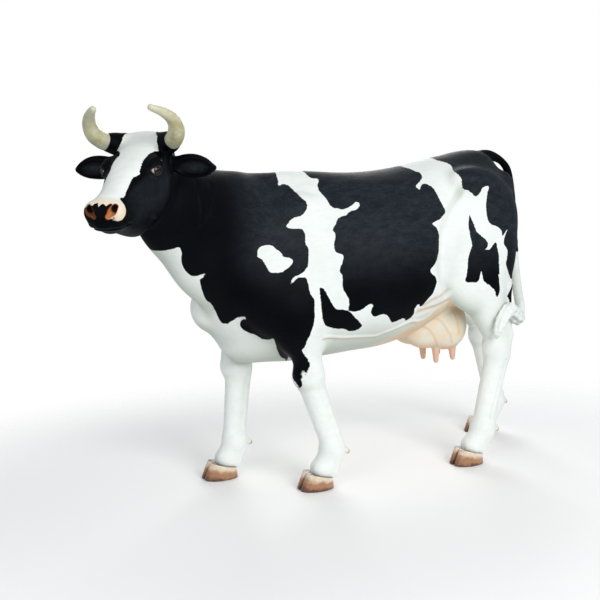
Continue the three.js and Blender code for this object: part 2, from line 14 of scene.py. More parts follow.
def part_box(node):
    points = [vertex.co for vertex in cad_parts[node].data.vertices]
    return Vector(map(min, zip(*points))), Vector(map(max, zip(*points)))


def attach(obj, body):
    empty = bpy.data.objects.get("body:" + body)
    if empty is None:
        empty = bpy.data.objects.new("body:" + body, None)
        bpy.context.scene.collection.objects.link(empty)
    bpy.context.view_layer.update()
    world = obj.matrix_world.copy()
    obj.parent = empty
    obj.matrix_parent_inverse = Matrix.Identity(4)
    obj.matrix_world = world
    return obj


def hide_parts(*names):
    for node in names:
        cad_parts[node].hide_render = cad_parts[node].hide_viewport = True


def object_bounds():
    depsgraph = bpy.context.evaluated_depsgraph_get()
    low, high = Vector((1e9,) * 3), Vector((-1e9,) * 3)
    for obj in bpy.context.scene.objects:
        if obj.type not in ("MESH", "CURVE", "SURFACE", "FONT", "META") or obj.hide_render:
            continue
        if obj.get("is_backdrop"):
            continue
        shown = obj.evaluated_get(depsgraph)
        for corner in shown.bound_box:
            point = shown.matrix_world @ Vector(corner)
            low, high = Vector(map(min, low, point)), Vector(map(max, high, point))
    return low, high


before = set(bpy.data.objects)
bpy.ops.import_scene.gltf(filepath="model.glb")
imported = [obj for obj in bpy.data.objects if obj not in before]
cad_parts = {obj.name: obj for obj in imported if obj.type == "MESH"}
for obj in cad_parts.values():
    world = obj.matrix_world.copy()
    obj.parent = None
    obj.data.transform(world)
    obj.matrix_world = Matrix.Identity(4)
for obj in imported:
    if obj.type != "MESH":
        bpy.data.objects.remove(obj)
cad_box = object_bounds()

# ---- The moulding: trunk and neck ------------------------------------------------------
# The statue is one fibreglass and resin moulding. Its form is described by masses, each a
# function of points that is negative inside it: lofts of rounded sections for the long
# parts, and ellipsoids for the muscles and bones that stand out under the hide.

SIDES = (1, -1)  # the cow's left and right
POLL = np.array([1019.6, 228.2, 1515.3], np.float32)  # top of the head, between the horns
SOLE_CORNER = (180, 182, 0)  # lowest corner of the front left outer claw
OUT_OF_REACH = 170  # a mass this far off no longer shapes the surface

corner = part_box("hoof_front_left_outer")[0]
MOVED = np.array([corner[i] * 1000 - SOLE_CORNER[i] for i in range(3)])


def turned(yaw=0.0, pitch=0.0, roll=0.0):
    """Rows: the axes ahead, left and up, turned left, nose down and left side up."""
    y, p, r = np.radians([yaw, pitch, roll])
    ahead = np.array([np.cos(y) * np.cos(p), np.sin(y) * np.cos(p), -np.sin(p)])
    left = np.array([-np.sin(y), np.cos(y), 0.0])
    up = np.cross(ahead, left)
    rolled = [ahead, left * np.cos(r) + up * np.sin(r), up * np.cos(r) - left * np.sin(r)]
    return np.array(rolled, np.float32)


HEAD = turned(50.8, 25.6, 1.4)
NECK_ROOT = (470, 8, 1070)
NECK_AXES = turned(19, -24)


def head_point(a, l, n):
    return POLL + np.array([a, l, n], np.float32) @ HEAD


def in_head(points):
    return (points - POLL) @ HEAD.T


def within(low, high, depth):
    """A mass in a box. Where the points are further off than "reach", it gives that distance."""
    low, high = np.array(low, np.float32), np.array(high, np.float32)

    def mass(points, reach=OUT_OF_REACH):
        gap = np.maximum(np.maximum(low - points.max(0), points.min(0) - high), 0)
        gap = math.sqrt(gap @ gap)
        if gap > reach:
            return np.full(len(points), gap, np.float32)
        return depth(points)

    mass.low, mass.high = low, high
    return mass


def between(rows):
    """Smooth values between the rows of a section table, column by column."""
    rows = np.array(rows, float)
    s = rows[:, 0]
    slope = np.diff(rows, axis=0) / np.diff(s)[:, None]
    tangent = np.zeros_like(rows)
    tangent[0], tangent[-1] = slope[0], slope[-1]
    run = np.diff(s)[:, None]
    tangent[1:-1] = (slope[:-1] * run[1:] + slope[1:] * run[:-1]) / (run[1:] + run[:-1])
    fine = np.linspace(s[0], s[-1], 500)
    i = np.clip(np.searchsorted(s, fine, side="right") - 1, 0, len(s) - 2)
    run = run[i]
    t = ((fine - s[i]) / run[:, 0])[:, None]
    table = (
        (1 + 2 * t) * (1 - t) ** 2 * rows[i]
        + t * (1 - t) ** 2 * run * tangent[i]
        + t * t * (3 - 2 * t) * rows[i + 1]
        + t * t * (t - 1) * run * tangent[i + 1]
    )
    table[:, 0] = fine
    table = table.astype(np.float32)

    def section(at):
        x = (at - table[0, 0]) * np.float32((len(fine) - 1) / (s[-1] - s[0]))
        j = np.clip(x.astype(np.int32), 0, len(fine) - 2)
        part = (x - j)[:, None]
        return (table[j] * (1 - part) + table[j + 1] * part).T

    section.ends = (s[0], s[-1])
    return section


def loft(rows, origin=(0, 0, 0), axes=None):
    """A run of superellipse sections: along, top, bottom, widest height, half width, squareness."""
    section = between(rows)
    axes = np.eye(3, dtype=np.float32) if axes is None else axes
    origin = np.array(origin, np.float32)
    first, last = section.ends

    def depth(points):
        q = (points - origin) @ axes.T
        s = np.clip(q[:, 0], first, last)
        _, top, bottom, wide, half, square_top, square_bottom = section(s)
        z = q[:, 2] - wide
        up = z > 0
        height = np.where(up, top - wide, wide - bottom)
        power = np.where(up, square_top, square_bottom)
        u = np.abs(q[:, 1]) / np.maximum(half, 1) + 1e-4
        w = np.abs(z) / np.maximum(height, 1) + 1e-4
        size = (u**power + w**power) ** (1 / power)
        r = np.sqrt(q[:, 1] ** 2 + z * z) + 1e-2
        across = r - r / size
        beyond = np.abs(q[:, 0] - s)
        ends = np.sqrt(np.maximum(across, 0) ** 2 + beyond**2)
        return np.where(beyond > 0, ends, across)

    rows = np.array(rows)
    corners = [(s, w, h) for s, t, b, _, half, *_ in rows for w in (-half, half) for h in (t, b)]
    corners = origin + np.array(corners) @ axes
    return within(corners.min(0), corners.max(0), depth)


def ball(at, radii, yaw=0.0, pitch=0.0, roll=0.0, head=False):
    axes = turned(yaw, pitch, roll)
    if head:
        at, axes = head_point(*at), axes @ HEAD
    at, radii = np.array(at, np.float32), np.array(radii, np.float32)
    squash = axes.T / radii
    squash_twice = axes.T / radii**2

    def depth(points):
        q = points - at
        k0 = q @ squash
        k0 = np.sqrt(np.einsum("ij,ij->i", k0, k0)) + 1e-6
        k1 = q @ squash_twice
        k1 = np.sqrt(np.einsum("ij,ij->i", k1, k1)) + 1e-6
        return k0 * (k0 - 1) / k1

    size = np.sqrt((axes**2 * radii[:, None] ** 2).sum(0))
    return within(at - size, at + size, depth)


def limb(start, r0, end, r1, flat=1.0):
    """A tapered capsule, pressed flatter from side to side by "flat"."""
    start, end = np.array(start, np.float32), np.array(end, np.float32)
    run = end - start
    pull = run / (run @ run)
    r = max(r0, r1)

    def depth(points):
        q = points - start
        t = np.clip(q @ pull, 0, 1)
        q = q - t[:, None] * run
        if flat != 1:
            q[:, 1] *= 1 / flat
        return (np.sqrt(np.einsum("ij,ij->i", q, q)) - (r0 + (r1 - r0) * t)) * min(1, flat)

    return within(np.minimum(start, end) - r, np.maximum(start, end) + r, depth)


def around(masses):
    return np.min([m.low for m in masses], 0), np.max([m.high for m in masses], 0)


def group(masses, soft):
    """Joins all of the masses at once, rounding the creases over about "soft" millimetres."""
    reach = 7 * soft

    def depth(points):
        depths = [mass(points, reach) for mass in masses]
        least = np.minimum.reduce(depths)
        total = np.zeros_like(least)
        for d in depths:
            if (d - least).min() < reach:
                total += np.exp((least - d) / soft)
        return least - soft * np.log(total)

    return within(*around(masses), depth)


def rope(rows, soft):
    links = [limb(a[:3], a[3], b[:3], b[3]) for a, b in zip(rows, rows[1:])]
    return group(links, soft)


def fillet(a, b, soft):
    h = np.maximum(soft - np.abs(a - b), 0) / soft
    return np.minimum(a, b) - h * h * soft / 4


def trunk_mass():
    masses = [
        loft([
            (-880, 1262, 1100, 1200, 40, 2.0, 2.0),
            (-850, 1296, 1010, 1185, 82, 2.0, 2.0),
            (-800, 1352, 930, 1175, 128, 2.0, 2.0),
            (-720, 1424, 850, 1178, 185, 2.0, 2.0),
            (-600, 1440, 745, 1150, 235, 2.0, 2.0),
            (-480, 1428, 690, 1100, 258, 1.9, 2.0),
            (-370, 1408, 652, 1020, 290, 1.8, 2.1),
            (-250, 1383, 608, 980, 320, 1.8, 2.2),
            (-100, 1364, 576, 950, 338, 1.8, 2.3),
            (50, 1358, 566, 935, 330, 1.75, 2.3),
            (200, 1357, 552, 910, 292, 1.7, 2.2),
            (350, 1352, 545, 880, 238, 1.6, 2.1),
            (480, 1320, 575, 860, 195, 1.6, 2.0),
            (590, 1240, 625, 880, 160, 1.7, 2.0),
            (660, 1150, 700, 900, 120, 2.0, 2.0),
            (700, 1060, 800, 920, 60, 2.0, 2.0),
        ]),
        ball((300, 0, 1300), (190, 46, 50)),  # withers
        ball((-662, 0, 1384), (100, 82, 55)),  # croup
        ball((468, 0, 668), (150, 95, 105), pitch=22),  # brisket
        ball((642, 0, 800), (108, 82, 108)),  # breast
    ]
    for side in SIDES:
        masses += [
            ball((375, side * 132, 1060), (120, 60, 220), pitch=-22),  # shoulder blade
            ball((490, side * 160, 900), (130, 72, 150)),  # point of the shoulder
            ball((380, side * 180, 800), (165, 72, 125)),  # upper arm
            ball((-550, side * 190, 1315), (120, 60, 60), pitch=-8),  # hip bone
            ball((-790, side * 92, 1290), (48, 42, 60)),  # pin bone
            ball((-640, side * 165, 1150), (150, 85, 170)),  # rump
            ball((-600, side * 180, 960), (175, 88, 230)),  # thigh
            ball((-715, side * 140, 1050), (90, 76, 220)),  # back of the thigh
        ]
    return group(masses, 24)


trunk = trunk_mass()
neck = loft([
    (-120, 245, -400, -20, 180, 1.7, 1.8),
    (60, 262, -352, -20, 166, 1.6, 1.7),
    (190, 244, -335, -20, 146, 1.6, 1.7),
    (290, 208, -308, -20, 132, 1.6, 1.8),
    (415, 167, -246, 0, 116, 1.7, 1.9),
    (540, 150, -192, 10, 100, 1.8, 2.0),
    (640, 100, -120, 10, 70, 2.0, 2.0),
], NECK_ROOT, NECK_AXES)

# ---- The moulding: head ----------------------------------------------------------------
# A long straight face on a deep jaw. The head's own frame runs from the poll to the nose (a),
# to its left (l) and square to the face (n). Lids, nostrils and the line of the mouth are
# pressed into the moulding, and the cuffs are the swollen roots of the horns.

SKULL = [
    (-72, -60, -190, -125, 46, 2.0, 2.0),
    (-40, -14, -240, -110, 88, 2.5, 2.0),
    (15, 4, -280, -98, 102, 2.8, 1.9),
    (90, 4, -302, -90, 106, 2.4, 1.8),
    (170, 0, -300, -84, 102, 2.3, 1.8),
    (250, -9, -288, -84, 84, 2.3, 1.8),
    (320, -17, -252, -86, 68, 2.3, 1.9),
    (385, -20, -204, -86, 60, 2.3, 2.0),
    (440, -20, -158, -84, 62, 2.3, 2.2),
    (476, -24, -136, -82, 60, 2.3, 2.3),
    (500, -44, -122, -85, 48, 2.2, 2.2),
    (513, -62, -108, -88, 26, 2.0, 2.0),
]
EYE = (188, 90, -50)
EYE_RADIUS = 24


def head_mass():
    masses = [
        loft(SKULL, POLL, HEAD),
        ball((-18, 0, -20), (26, 92, 22), head=True),  # the flat ridge of the poll
        ball((432, 0, -138), (44, 38, 20), head=True),  # chin
    ]
    for side in SIDES:
        masses += [
            ball((168, side * 88, -42), (46, 24, 30), head=True),  # brow
            ball((165, side * 66, -165), (95, 36, 80), head=True),  # cheek
            ball((470, side * 44, -62), (36, 27, 32), head=True),  # nostril
            ball((448, side * 40, -106), (46, 30, 24), head=True),  # lip
            limb(head_point(18, side * 76, -24), 39, head_point(34, side * 106, -15), 35.5),
            limb(head_point(34, side * 106, -15), 35.5, head_point(48, side * 124, -4), 33.4),
        ]
    return group(masses, 8)


head = head_mass()


def ear_mass(side):
    leaf = loft([
        (-78, 26, -26, 0, 16, 2, 2),
        (-50, 44, -42, 0, 24, 2, 2),
        (-18, 51, -46, 0, 27, 2, 2),
        (15, 49, -43, 0, 26, 2, 2),
        (45, 38, -36, 0, 21, 2, 2),
        (68, 22, -24, 0, 14, 2, 2),
        (84, 6, -9, 0, 6, 2, 2),
    ], head_point(50, side * 196, -108), turned(84 * side) @ HEAD)
    hollow = ball((76, side * 194, -106), (36, 70, 38), yaw=-6 * side, head=True)
    root = limb(head_point(42, side * 118, -96), 26, head_point(48, side * 165, -102), 24)

    def depth(points):
        outside = fillet(leaf(points), root(points), 20)
        return -fillet(-outside, hollow(points), 6)

    return within(*around([leaf, root]), depth)


ears = [ear_mass(side) for side in SIDES]

# ---- The moulding: legs ----------------------------------------------------------------
# Each leg is set by its joints' places along the body and above the floor, and by how far to
# the side it stands. Bones and tendons are capsules, and knees, hocks and fetlocks are balls.

LEGS = {  # how far to the side, then elbow or stifle, knee or hock, fetlock and coronet
    "front_left": (179, (345, 780), (292, 508), (180, 165), (232, 84)),
    "front_right": (-146, (430, 780), (486, 505), (501, 165), (547, 84)),
    "hind_left": (200, (-510, 880), (-690, 545), (-625, 165), (-563, 82)),
    "hind_right": (-205, (-600, 870), (-915, 525), (-1003, 160), (-949, 82)),
}


def leg_place(y):
    """Gives places on a leg: ahead of a joint, above it, and out from the leg's middle."""
    side = math.copysign(1, y)

    def at(joint, ahead, up, out=0):
        return (joint[0] + ahead, y + side * out, joint[1] + up)

    return at


def foreleg(y, elbow, knee, fetlock, coronet):
    at = leg_place(y)
    return group([
        limb(at(elbow, 0, 0, 6), 98, at(knee, 6, 60), 63, 0.8),  # forearm
        ball(at(elbow, 5, -60, 8), (90, 60, 120)),
        ball(at(knee, 2, 0), (72, 62, 66)),
        limb(at(knee, -2, -30), 52, at(fetlock, 8, 30), 42, 0.92),  # cannon bone
        limb(at(knee, -30, -40), 34, at(fetlock, -18, 30), 32),  # tendons behind it
        ball(at(fetlock, -3, 0), (56, 55, 52)),
        limb(at(fetlock, 8, -25), 44, at(coronet, 0, 0), 48),  # pastern
        limb(at(fetlock, -22, -40), 34, at(coronet, -44, -14), 37),  # heel
    ], 9)


def hindleg(y, stifle, hock, fetlock, coronet):
    at = leg_place(y)
    return group([
        ball(at(stifle, 0, 0, 10), (115, 76, 165), pitch=20),
        limb(at(stifle, -60, -20, 4), 120, at(hock, 8, 70), 62, 0.72),  # gaskin
        limb(at(stifle, -215, -60, -20), 50, at(hock, -56, 55), 28),  # hamstring
        ball(at(hock, 2, 0), (66, 56, 72)),
        limb(at(hock, -60, 50), 30, at(hock, -30, -40), 38),  # point of the hock
        limb(at(hock, -5, -30), 54, at(fetlock, 4, 30), 43, 0.9),  # cannon bone
        limb(at(hock, -32, -50), 36, at(fetlock, -22, 30), 33),  # tendons behind it
        ball(at(fetlock, -3, 0), (60, 57, 55)),
        limb(at(fetlock, 8, -25), 46, at(coronet, 0, 0), 50),  # pastern
        limb(at(fetlock, -22, -40), 34, at(coronet, -44, -14), 38),  # heel
    ], 9)


legs = {leg: (foreleg if "front" in leg else hindleg)(*row) for leg, row in LEGS.items()}

# ---- The moulding: udder and tail ------------------------------------------------------
# The udder hangs in four quarters with a teat on each. The tail runs from the croup down the
# rump and across to the left thigh, where its tuft of long hair is laid over the leg.

TEATS = [  # root and tip
    ((-448, 58, 540), (-447, 64, 476)),
    ((-540, 60, 540), (-541, 66, 482)),
    ((-452, -58, 540), (-462, -64, 468)),
    ((-540, -60, 540), (-548, -66, 480)),
]
TAIL = [
    (-720, 0, 1412, 44),
    (-775, 0, 1428, 25),
    (-836, 0, 1411, 16),
    (-882, 0, 1370, 16),
    (-900, 0, 1310, 19),
    (-908, 0, 1250, 21.5),
    (-914, 0, 1190, 24),
    (-924, 8, 1050, 24),
    (-926, 28, 900, 23),
    (-914, 70, 790, 22),
    (-890, 125, 708, 21),
    (-855, 165, 668, 21),
]
SWITCH = [
    (-855, 165, 668, 24),
    (-790, 220, 680, 34),
    (-715, 262, 730, 30),
    (-655, 285, 700, 26),
    (-632, 285, 640, 18),
    (-628, 283, 600, 7),
]


def udder_mass():
    masses = [ball((-440, 0, 685), (195, 112, 145))]
    for side in SIDES:
        masses.append(ball((-390, side * 56, 645), (120, 68, 105)))  # fore quarter
        masses.append(ball((-505, side * 57, 632), (108, 69, 108)))  # rear quarter
    return group(masses, 10)


udder = udder_mass()
teats = group([limb(root, 19, tip, 12) for root, tip in TEATS], 3)


def rounded(line, steps=6):
    """The same line with smooth bends."""
    line = np.array(line, float)
    path = np.vstack([2 * line[0] - line[1], line, 2 * line[-1] - line[-2]])
    out = []
    for i in range(1, len(path) - 2):
        for t in np.linspace(0, 1, steps, endpoint=False):
            a, b, c, d = path[i - 1 : i + 3]
            out.append(0.5 * (2 * b + (c - a) * t + (2 * a - 5 * b + 4 * c - d) * t * t
                              + (3 * b - a - 3 * c + d) * t**3))
    return np.array(out + [line[-1]])


tail = rope(rounded(TAIL, 4), 2.5)


def flesh(points):
    depth = fillet(trunk(points), neck(points), 60)
    depth = fillet(depth, head(points, 80), 35)
    for leg in legs.values():
        depth = fillet(depth, leg(points, 90), 45)
    depth = fillet(depth, udder(points, 80), 25)
    return fillet(depth, tail(points, 60), 8)


# ---- The moulding: relief --------------------------------------------------------------
# Creases, folds and veins are tooled into the clay before the mould is taken. Each is a line
# in a flat chart of its region, pressed in or raised along its length.


def line_distance(points, line):
    best = np.full(len(points), 1e9)
    for a, b in zip(line, line[1:]):
        a, b = np.array(a, float), np.array(b, float)
        run = b - a
        t = np.clip((points - a) @ run / (run @ run), 0, 1)
        best = np.minimum(best, np.linalg.norm(points - a - t[:, None] * run, axis=1))
    return best


def pressing(away, deep, width):
    """A soft groove or stroke: its strength at each distance from its line."""
    return deep * np.exp(-((away / width) ** 2))


# The body's chart: x along the body, and the girth measured round from the spine, left side
# positive, on a core that climbs with the neck.
CORE_X = (-900, -600, -300, 300, 600, 830, 1000)
CORE_Z = (1150, 1100, 1000, 930, 1030, 1200, 1300)
BEND_X = (450, 600, 830, 1000)  # where the neck bends to the left, and how far to the side
BEND_Y = (0, 45, 131, 190)
GIRTH = 300


def girth_chart(points):
    x = points[:, 0]
    z = points[:, 2] - np.interp(x, CORE_X, CORE_Z)
    y = points[:, 1] - np.interp(x, BEND_X, BEND_Y)
    return np.c_[x, GIRTH * np.arctan2(y, z)]


def eye_frame(side):
    """Rows: along the slit of the lids, up across it, and out of the eye."""
    out = np.array([0.45, side * 0.87, 0.10])
    out /= np.linalg.norm(out)
    along = np.array([0.81, -0.42 * side, 0.42])
    along -= out * (along @ out)
    along /= np.linalg.norm(along)
    up = np.cross(out, along)
    return np.array([along, up if up[2] > 0 else -up, out])


LID_CORNER, LID_HEIGHT = 27, 14
LID_THICKNESS = 4.5
LID_FOLDS = [  # above or below the slit, how deep, how far from its middle, and how wide
    (1, 2.8, 23, 2.6),
    (1, 2.6, 34, 3.6),
    (-1, 2.2, 24, 2.8),
]


def eye_middle(side):
    return np.array([EYE[0], side * EYE[1], EYE[2]])


def slit(w):
    """How far outside the almond opening of the lids a point of the eye's frame is."""
    big = (LID_CORNER**2 + LID_HEIGHT**2) / (2 * LID_HEIGHT)
    drop = big - LID_HEIGHT
    return np.maximum(np.hypot(w[:, 0], w[:, 1] + drop), np.hypot(w[:, 0], w[:, 1] - drop)) - big


def pressed(points, depth):
    """The flesh with the eyes, their lids and the folds round them worked into it."""
    q = in_head(points)
    if q[:, 0].max() < -60 or q[:, 0].min() > 560 or np.abs(q[:, 1]).min() > 180:
        return depth
    for side in SIDES:
        at = eye_middle(side)
        if np.linalg.norm(q - at, axis=1).min() < 90:
            w = (q - at) @ eye_frame(side).T
            r = np.linalg.norm(w, axis=1)
            depth = fillet(depth, r - EYE_RADIUS - LID_THICKNESS, 12)
            ring = np.hypot(w[:, 0] / 1.25, w[:, 1] + 1)
            for way, deep, far, width in LID_FOLDS:
                share = np.clip(way * w[:, 1] / 14, 0, 1) * np.clip(w[:, 2] / 8, 0, 1)
                depth = depth + pressing(ring - far, deep, width) * share
            depth = -fillet(-depth, np.maximum(slit(w), 6 - w[:, 2]), 3)
            depth = np.maximum(depth, EYE_RADIUS + 0.2 - r)
    return depth


NOSTRILS = [
    group([
        ball((484, side * 45, -47), (15, 8, 9), head=True),
        rope([(*head_point(509, side * 25, -62), 5), (*head_point(499, side * 39, -49), 7),
              (*head_point(484, side * 50, -33), 5.5)], 4),
    ], 6)
    for side in SIDES
]
MOUTH = rounded([(522, -106), (490, -117), (450, -127), (412, -143), (380, -160)])


def carved(points, depth):
    q = in_head(points)
    if q[:, 0].max() < 330 or np.abs(q[:, 1]).min() > 120 or q[:, 0].min() > 600:
        return depth
    for nostril in NOSTRILS:
        depth = -fillet(-depth, nostril(points), 8)
    return depth + pressing(line_distance(q[:, (0, 2)], MOUTH), 5.5, 3.6)


# Lines of the body's chart: how deep each is pressed in, how wide it is, and its points.
BODY_LINES = [
    (7.0, 19, [(-443, 235), (-367, 288), (-299, 371), (-275, 469), (-298, 571), (-372, 675)]),  # flank
    (2.2, 9, [(5, 202), (-35, 248), (-62, 296), (-78, 343)]),  # last rib
    (3.6, 8, [(-220, 655), (-267, 650), (-320, 657), (-361, 663)]),  # folds above the udder
    (4.6, 9, [(-187, 674), (-264, 685), (-347, 713), (-400, 728)]),
    (2.6, 10, [(805, 155), (817, 259), (811, 365), (816, 512)]),  # wrinkles of the turned neck
    (2.6, 9, [(769, 187), (778, 288), (785, 413)]),
    (2.2, 9, [(735, 124), (752, 232), (766, 347)]),
    (-3.6, 6, [(250, 720), (175, 730), (80, 730), (5, 735), (-35, 725), (-80, 715), (-157, 704),
               (-205, 720), (-248, 732), (-290, 725)]),  # the milk vein
]
# Veins of the udder, raised: points in space, left side.
VEINS = [
    [(-360, 150, 705), (-394, 130, 693), (-427, 124, 676), (-455, 125, 641), (-479, 124, 610),
     (-500, 113, 568)],
    [(-216, 238, 697), (-270, 180, 684), (-332, 125, 660), (-366, 124, 638), (-392, 121, 608),
     (-419, 107, 574), (-459, 76, 537)],
    [(-500, 118, 705), (-514, 120, 682), (-523, 126, 644), (-533, 122, 605)],
]
UDDER_FOLDS, MILK_VEIN = slice(2, 4), 7  # their places in the list
BODY_LINES = [(depth, width, rounded(line, 3)) for depth, width, line in BODY_LINES]
VEINS = [rounded(line, 3) for line in VEINS]


def veins_away(points):
    """How far each point is from the nearest vein of either side."""
    mirrored = points * (1, 1, 1)
    mirrored[:, 1] = np.abs(mirrored[:, 1])
    return np.minimum.reduce([line_distance(mirrored, vein) for vein in VEINS])


LEG_WIDTH = 90  # nothing of a leg is further than this to the side of its middle


def tooled(points, depth):
    """Folds, veins and tendons worked into the surface of the body and legs."""
    near = np.flatnonzero(np.abs(depth) < 60)
    if not len(near):
        return depth
    p = points[near]
    change = np.zeros(len(near), np.float32)
    low, high = p.min(0), p.max(0)
    if low[2] > 560 or high[0] > 700:
        chart = girth_chart(p)
        chart[:, 1] = np.abs(chart[:, 1])
        for deep, width, line in BODY_LINES:
            line_low, line_high = line.min(0) - 3 * width, line.max(0) + 3 * width
            if (chart.min(0) < line_high).all() and (chart.max(0) > line_low).all():
                change += pressing(line_distance(chart, line), deep, width)
    if low[0] < -180 and high[0] > -560 and low[2] < 730 and high[2] > 520:
        change -= pressing(veins_away(p), 2.6, 4.5)
    if low[2] < 560:
        for y, _, bend, fetlock, coronet in LEGS.values():
            if low[1] > y + LEG_WIDTH or high[1] < y - LEG_WIDTH:
                continue
            beside = np.abs(p[:, 1] - y) < LEG_WIDTH
            groove = [(bend[0] - 24, bend[1] - 60), (fetlock[0] - 14, fetlock[1] + 52)]
            change += pressing(line_distance(p[:, (0, 2)], groove), 3.0, 7) * beside
            cleft = [(coronet[0] + 66, y, 70), (fetlock[0] + 60, y, 118)]
            change += pressing(line_distance(p, cleft), 5.0, 14)
    out = depth.copy()
    out[near] += change
    return out


# ---- The moulding: tuft ----------------------------------------------------------------
# The long hair at the tail's end is modelled as wavy locks twisted round one another.


def tuft_mass():
    path = rounded([row[:3] for row in SWITCH], 5)
    size = np.interp(np.linspace(0, 5, len(path)), range(6), [row[3] for row in SWITCH])
    run = np.gradient(path, axis=0)
    run /= np.linalg.norm(run, axis=1)[:, None]
    side = np.cross(run, (0, 0, 1.0))
    side /= np.linalg.norm(side, axis=1)[:, None]
    rise = np.cross(side, run)
    locks = [rope(np.c_[path[::2], size[::2] * 0.66], 4)]
    for k in range(6):
        turn = np.linspace(0, 2.4, len(path)) + k * math.pi / 3
        off = size * (0.70 + 0.05 * np.sin(k + np.linspace(0, 9, len(path))))
        line = path + side * (np.cos(turn) * off)[:, None] + rise * (np.sin(turn) * off)[:, None]
        locks.append(rope(np.c_[line, size * 0.44][::2], 3))
    return group(locks, 1.1)


tuft = tuft_mass()


def moulding(points):
    depth = flesh(points)
    for ear in ears:
        depth = fillet(depth, ear(points, 60), 16)
    depth = fillet(depth, teats(points, 60), 14)
    depth = fillet(depth, tuft(points, 60), 4)
    depth = tooled(points, carved(points, pressed(points, depth)))
    return np.maximum(depth, hoof_room(points))


# ---- The moulding: coronets ------------------------------------------------------------
# The moulding stops on a slanted plane round each foot, where the two claws take over.

CLAW = dict(
    length=160, cleft=3, tip=15, outer=63, toe_height=79, heel_height=44, toe_run=34, heel_run=4,
    outer_run=4,
)
CLAWS_AHEAD = 28  # of the coronet, to the middle of the claws
CLAW_SLOPE = (CLAW["toe_height"] - CLAW["heel_height"]) / (CLAW["length"] - CLAW["toe_run"])
FEET = {leg: (coronet[0] + CLAWS_AHEAD, y) for leg, (y, _, _, _, coronet) in LEGS.items()}


def hoof_room(points):
    """How far below the coronet plane a point is."""
    below = np.full(len(points), -1e3)
    if points[:, 2].min() > 130:
        return below
    for x, y in FEET.values():
        here = (np.abs(points[:, 0] - x) < 200) & (np.abs(points[:, 1] - y) < 110)
        top = CLAW["heel_height"] + (points[:, 0] - x + CLAW["length"] / 2) * CLAW_SLOPE
        below = np.where(here, top - 2 - points[:, 2], below)
    return below


# ---- The moulding: skin ----------------------------------------------------------------
# One continuous surface over all of the masses, with no seam. It is taken off a grid whose
# lines are close together at the head, the udder and the tuft, and wider elsewhere.

BLOCK, PATCH = 8, 32
COARSE = 5.5
FINE = 2.7
MIDDLE = 3.8


def grid_lines(low, high, spans):
    """Grid lines from low to high, with the spacing of each (from, to, step) span inside it."""
    lines = [low]
    while lines[-1] < high or len(lines) % BLOCK:
        x = lines[-1]
        step = COARSE
        for start, end, fine in spans:
            away = max(start - x, x - end, 0)
            step = min(step, fine + (COARSE - fine) * min(away / 60, 1))
        lines.append(x + step)
    return np.array(lines)


LINES = (
    grid_lines(-1130, 1350, [(815, 1340, FINE), (-860, -600, MIDDLE), (-600, -330, MIDDLE)]),
    grid_lines(-365, 620, [(75, 610, FINE), (-110, 75, MIDDLE)]),
    grid_lines(20, 1600, [(1190, 1580, FINE), (450, 770, MIDDLE)]),
)


def grid_values(mass, lines):
    """The mass's depth on the grid, exact near its surface."""
    lines = [line.astype(np.float32) for line in lines]
    values = np.empty([len(line) for line in lines], np.float32)
    cube = {n: np.stack(np.meshgrid(*[range(n)] * 3, indexing="ij"), -1).reshape(-1, 3) for n in (2, 4)}

    def places(index):
        return np.stack([line[index[:, d]] for d, line in enumerate(lines)], 1)

    def close(cells, size):
        """Fills the cells with their middle's sign and returns those that the surface may cross."""
        low, high = places(cells), places(cells + size - 1)
        depth = mass((low + high) / 2)
        for (i, j, k), d in zip(cells, depth):
            values[i : i + size, j : j + size, k : k + size] = 900 if d > 0 else -900
        half = np.linalg.norm(high - low, axis=1) / 2
        return cells[np.abs(depth) < half * 1.35 + 6]

    def smaller(cells, parts, size):
        return (cells[:, None] + cube[parts][None] * size).reshape(-1, 3)

    def fill(corner):
        starts = [c * PATCH for c in corner]
        ranges = [range(a, min(a + PATCH, len(line)), BLOCK) for a, line in zip(starts, lines)]
        cells = np.stack(np.meshgrid(*ranges, indexing="ij"), -1).reshape(-1, 3)
        cells = close(cells, BLOCK)
        if len(cells):
            cells = close(smaller(cells, 2, 4), 4)
        if len(cells):
            index = smaller(cells, 4, 1)
            values[index[:, 0], index[:, 1], index[:, 2]] = mass(places(index))

    with ThreadPoolExecutor(4) as workers:
        list(workers.map(fill, np.ndindex(*[-(-len(line) // PATCH) for line in lines])))
    return values


def surface_of(mass, lines):
    grid = openvdb.FloatGrid(900.0)
    grid.copyFromArray(grid_values(mass, lines))
    grid.gridClass = openvdb.GridClass.LEVEL_SET
    points, quads = grid.convertToQuads(0.0)
    places = [np.interp(points[:, d], np.arange(len(line)), line) for d, line in enumerate(lines)]
    return np.stack(places, 1), quads[:, ::-1]


def piece(name, points, faces, slot, *nodes):
    """A piece of the statue, from points in millimetres and faces that all have as many corners."""
    mesh = bpy.data.meshes.new(name)
    points = (np.asarray(points) + MOVED) / 1000
    faces = np.asarray(faces, np.int32)
    mesh.vertices.add(len(points))
    mesh.vertices.foreach_set("co", points.astype(np.float32).ravel())
    mesh.loops.add(faces.size)
    mesh.loops.foreach_set("vertex_index", faces.ravel())
    mesh.polygons.add(len(faces))
    mesh.polygons.foreach_set("loop_start", np.arange(0, faces.size, faces.shape[1], dtype=np.int32))
    mesh.polygons.foreach_set("use_smooth", np.ones(len(faces), bool))
    mesh.update(calc_edges=True)
    mesh.validate()
    made = bpy.data.objects.new(name, mesh)
    bpy.context.scene.collection.objects.link(made)
    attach(made, "root")
    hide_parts(*nodes)
    return made


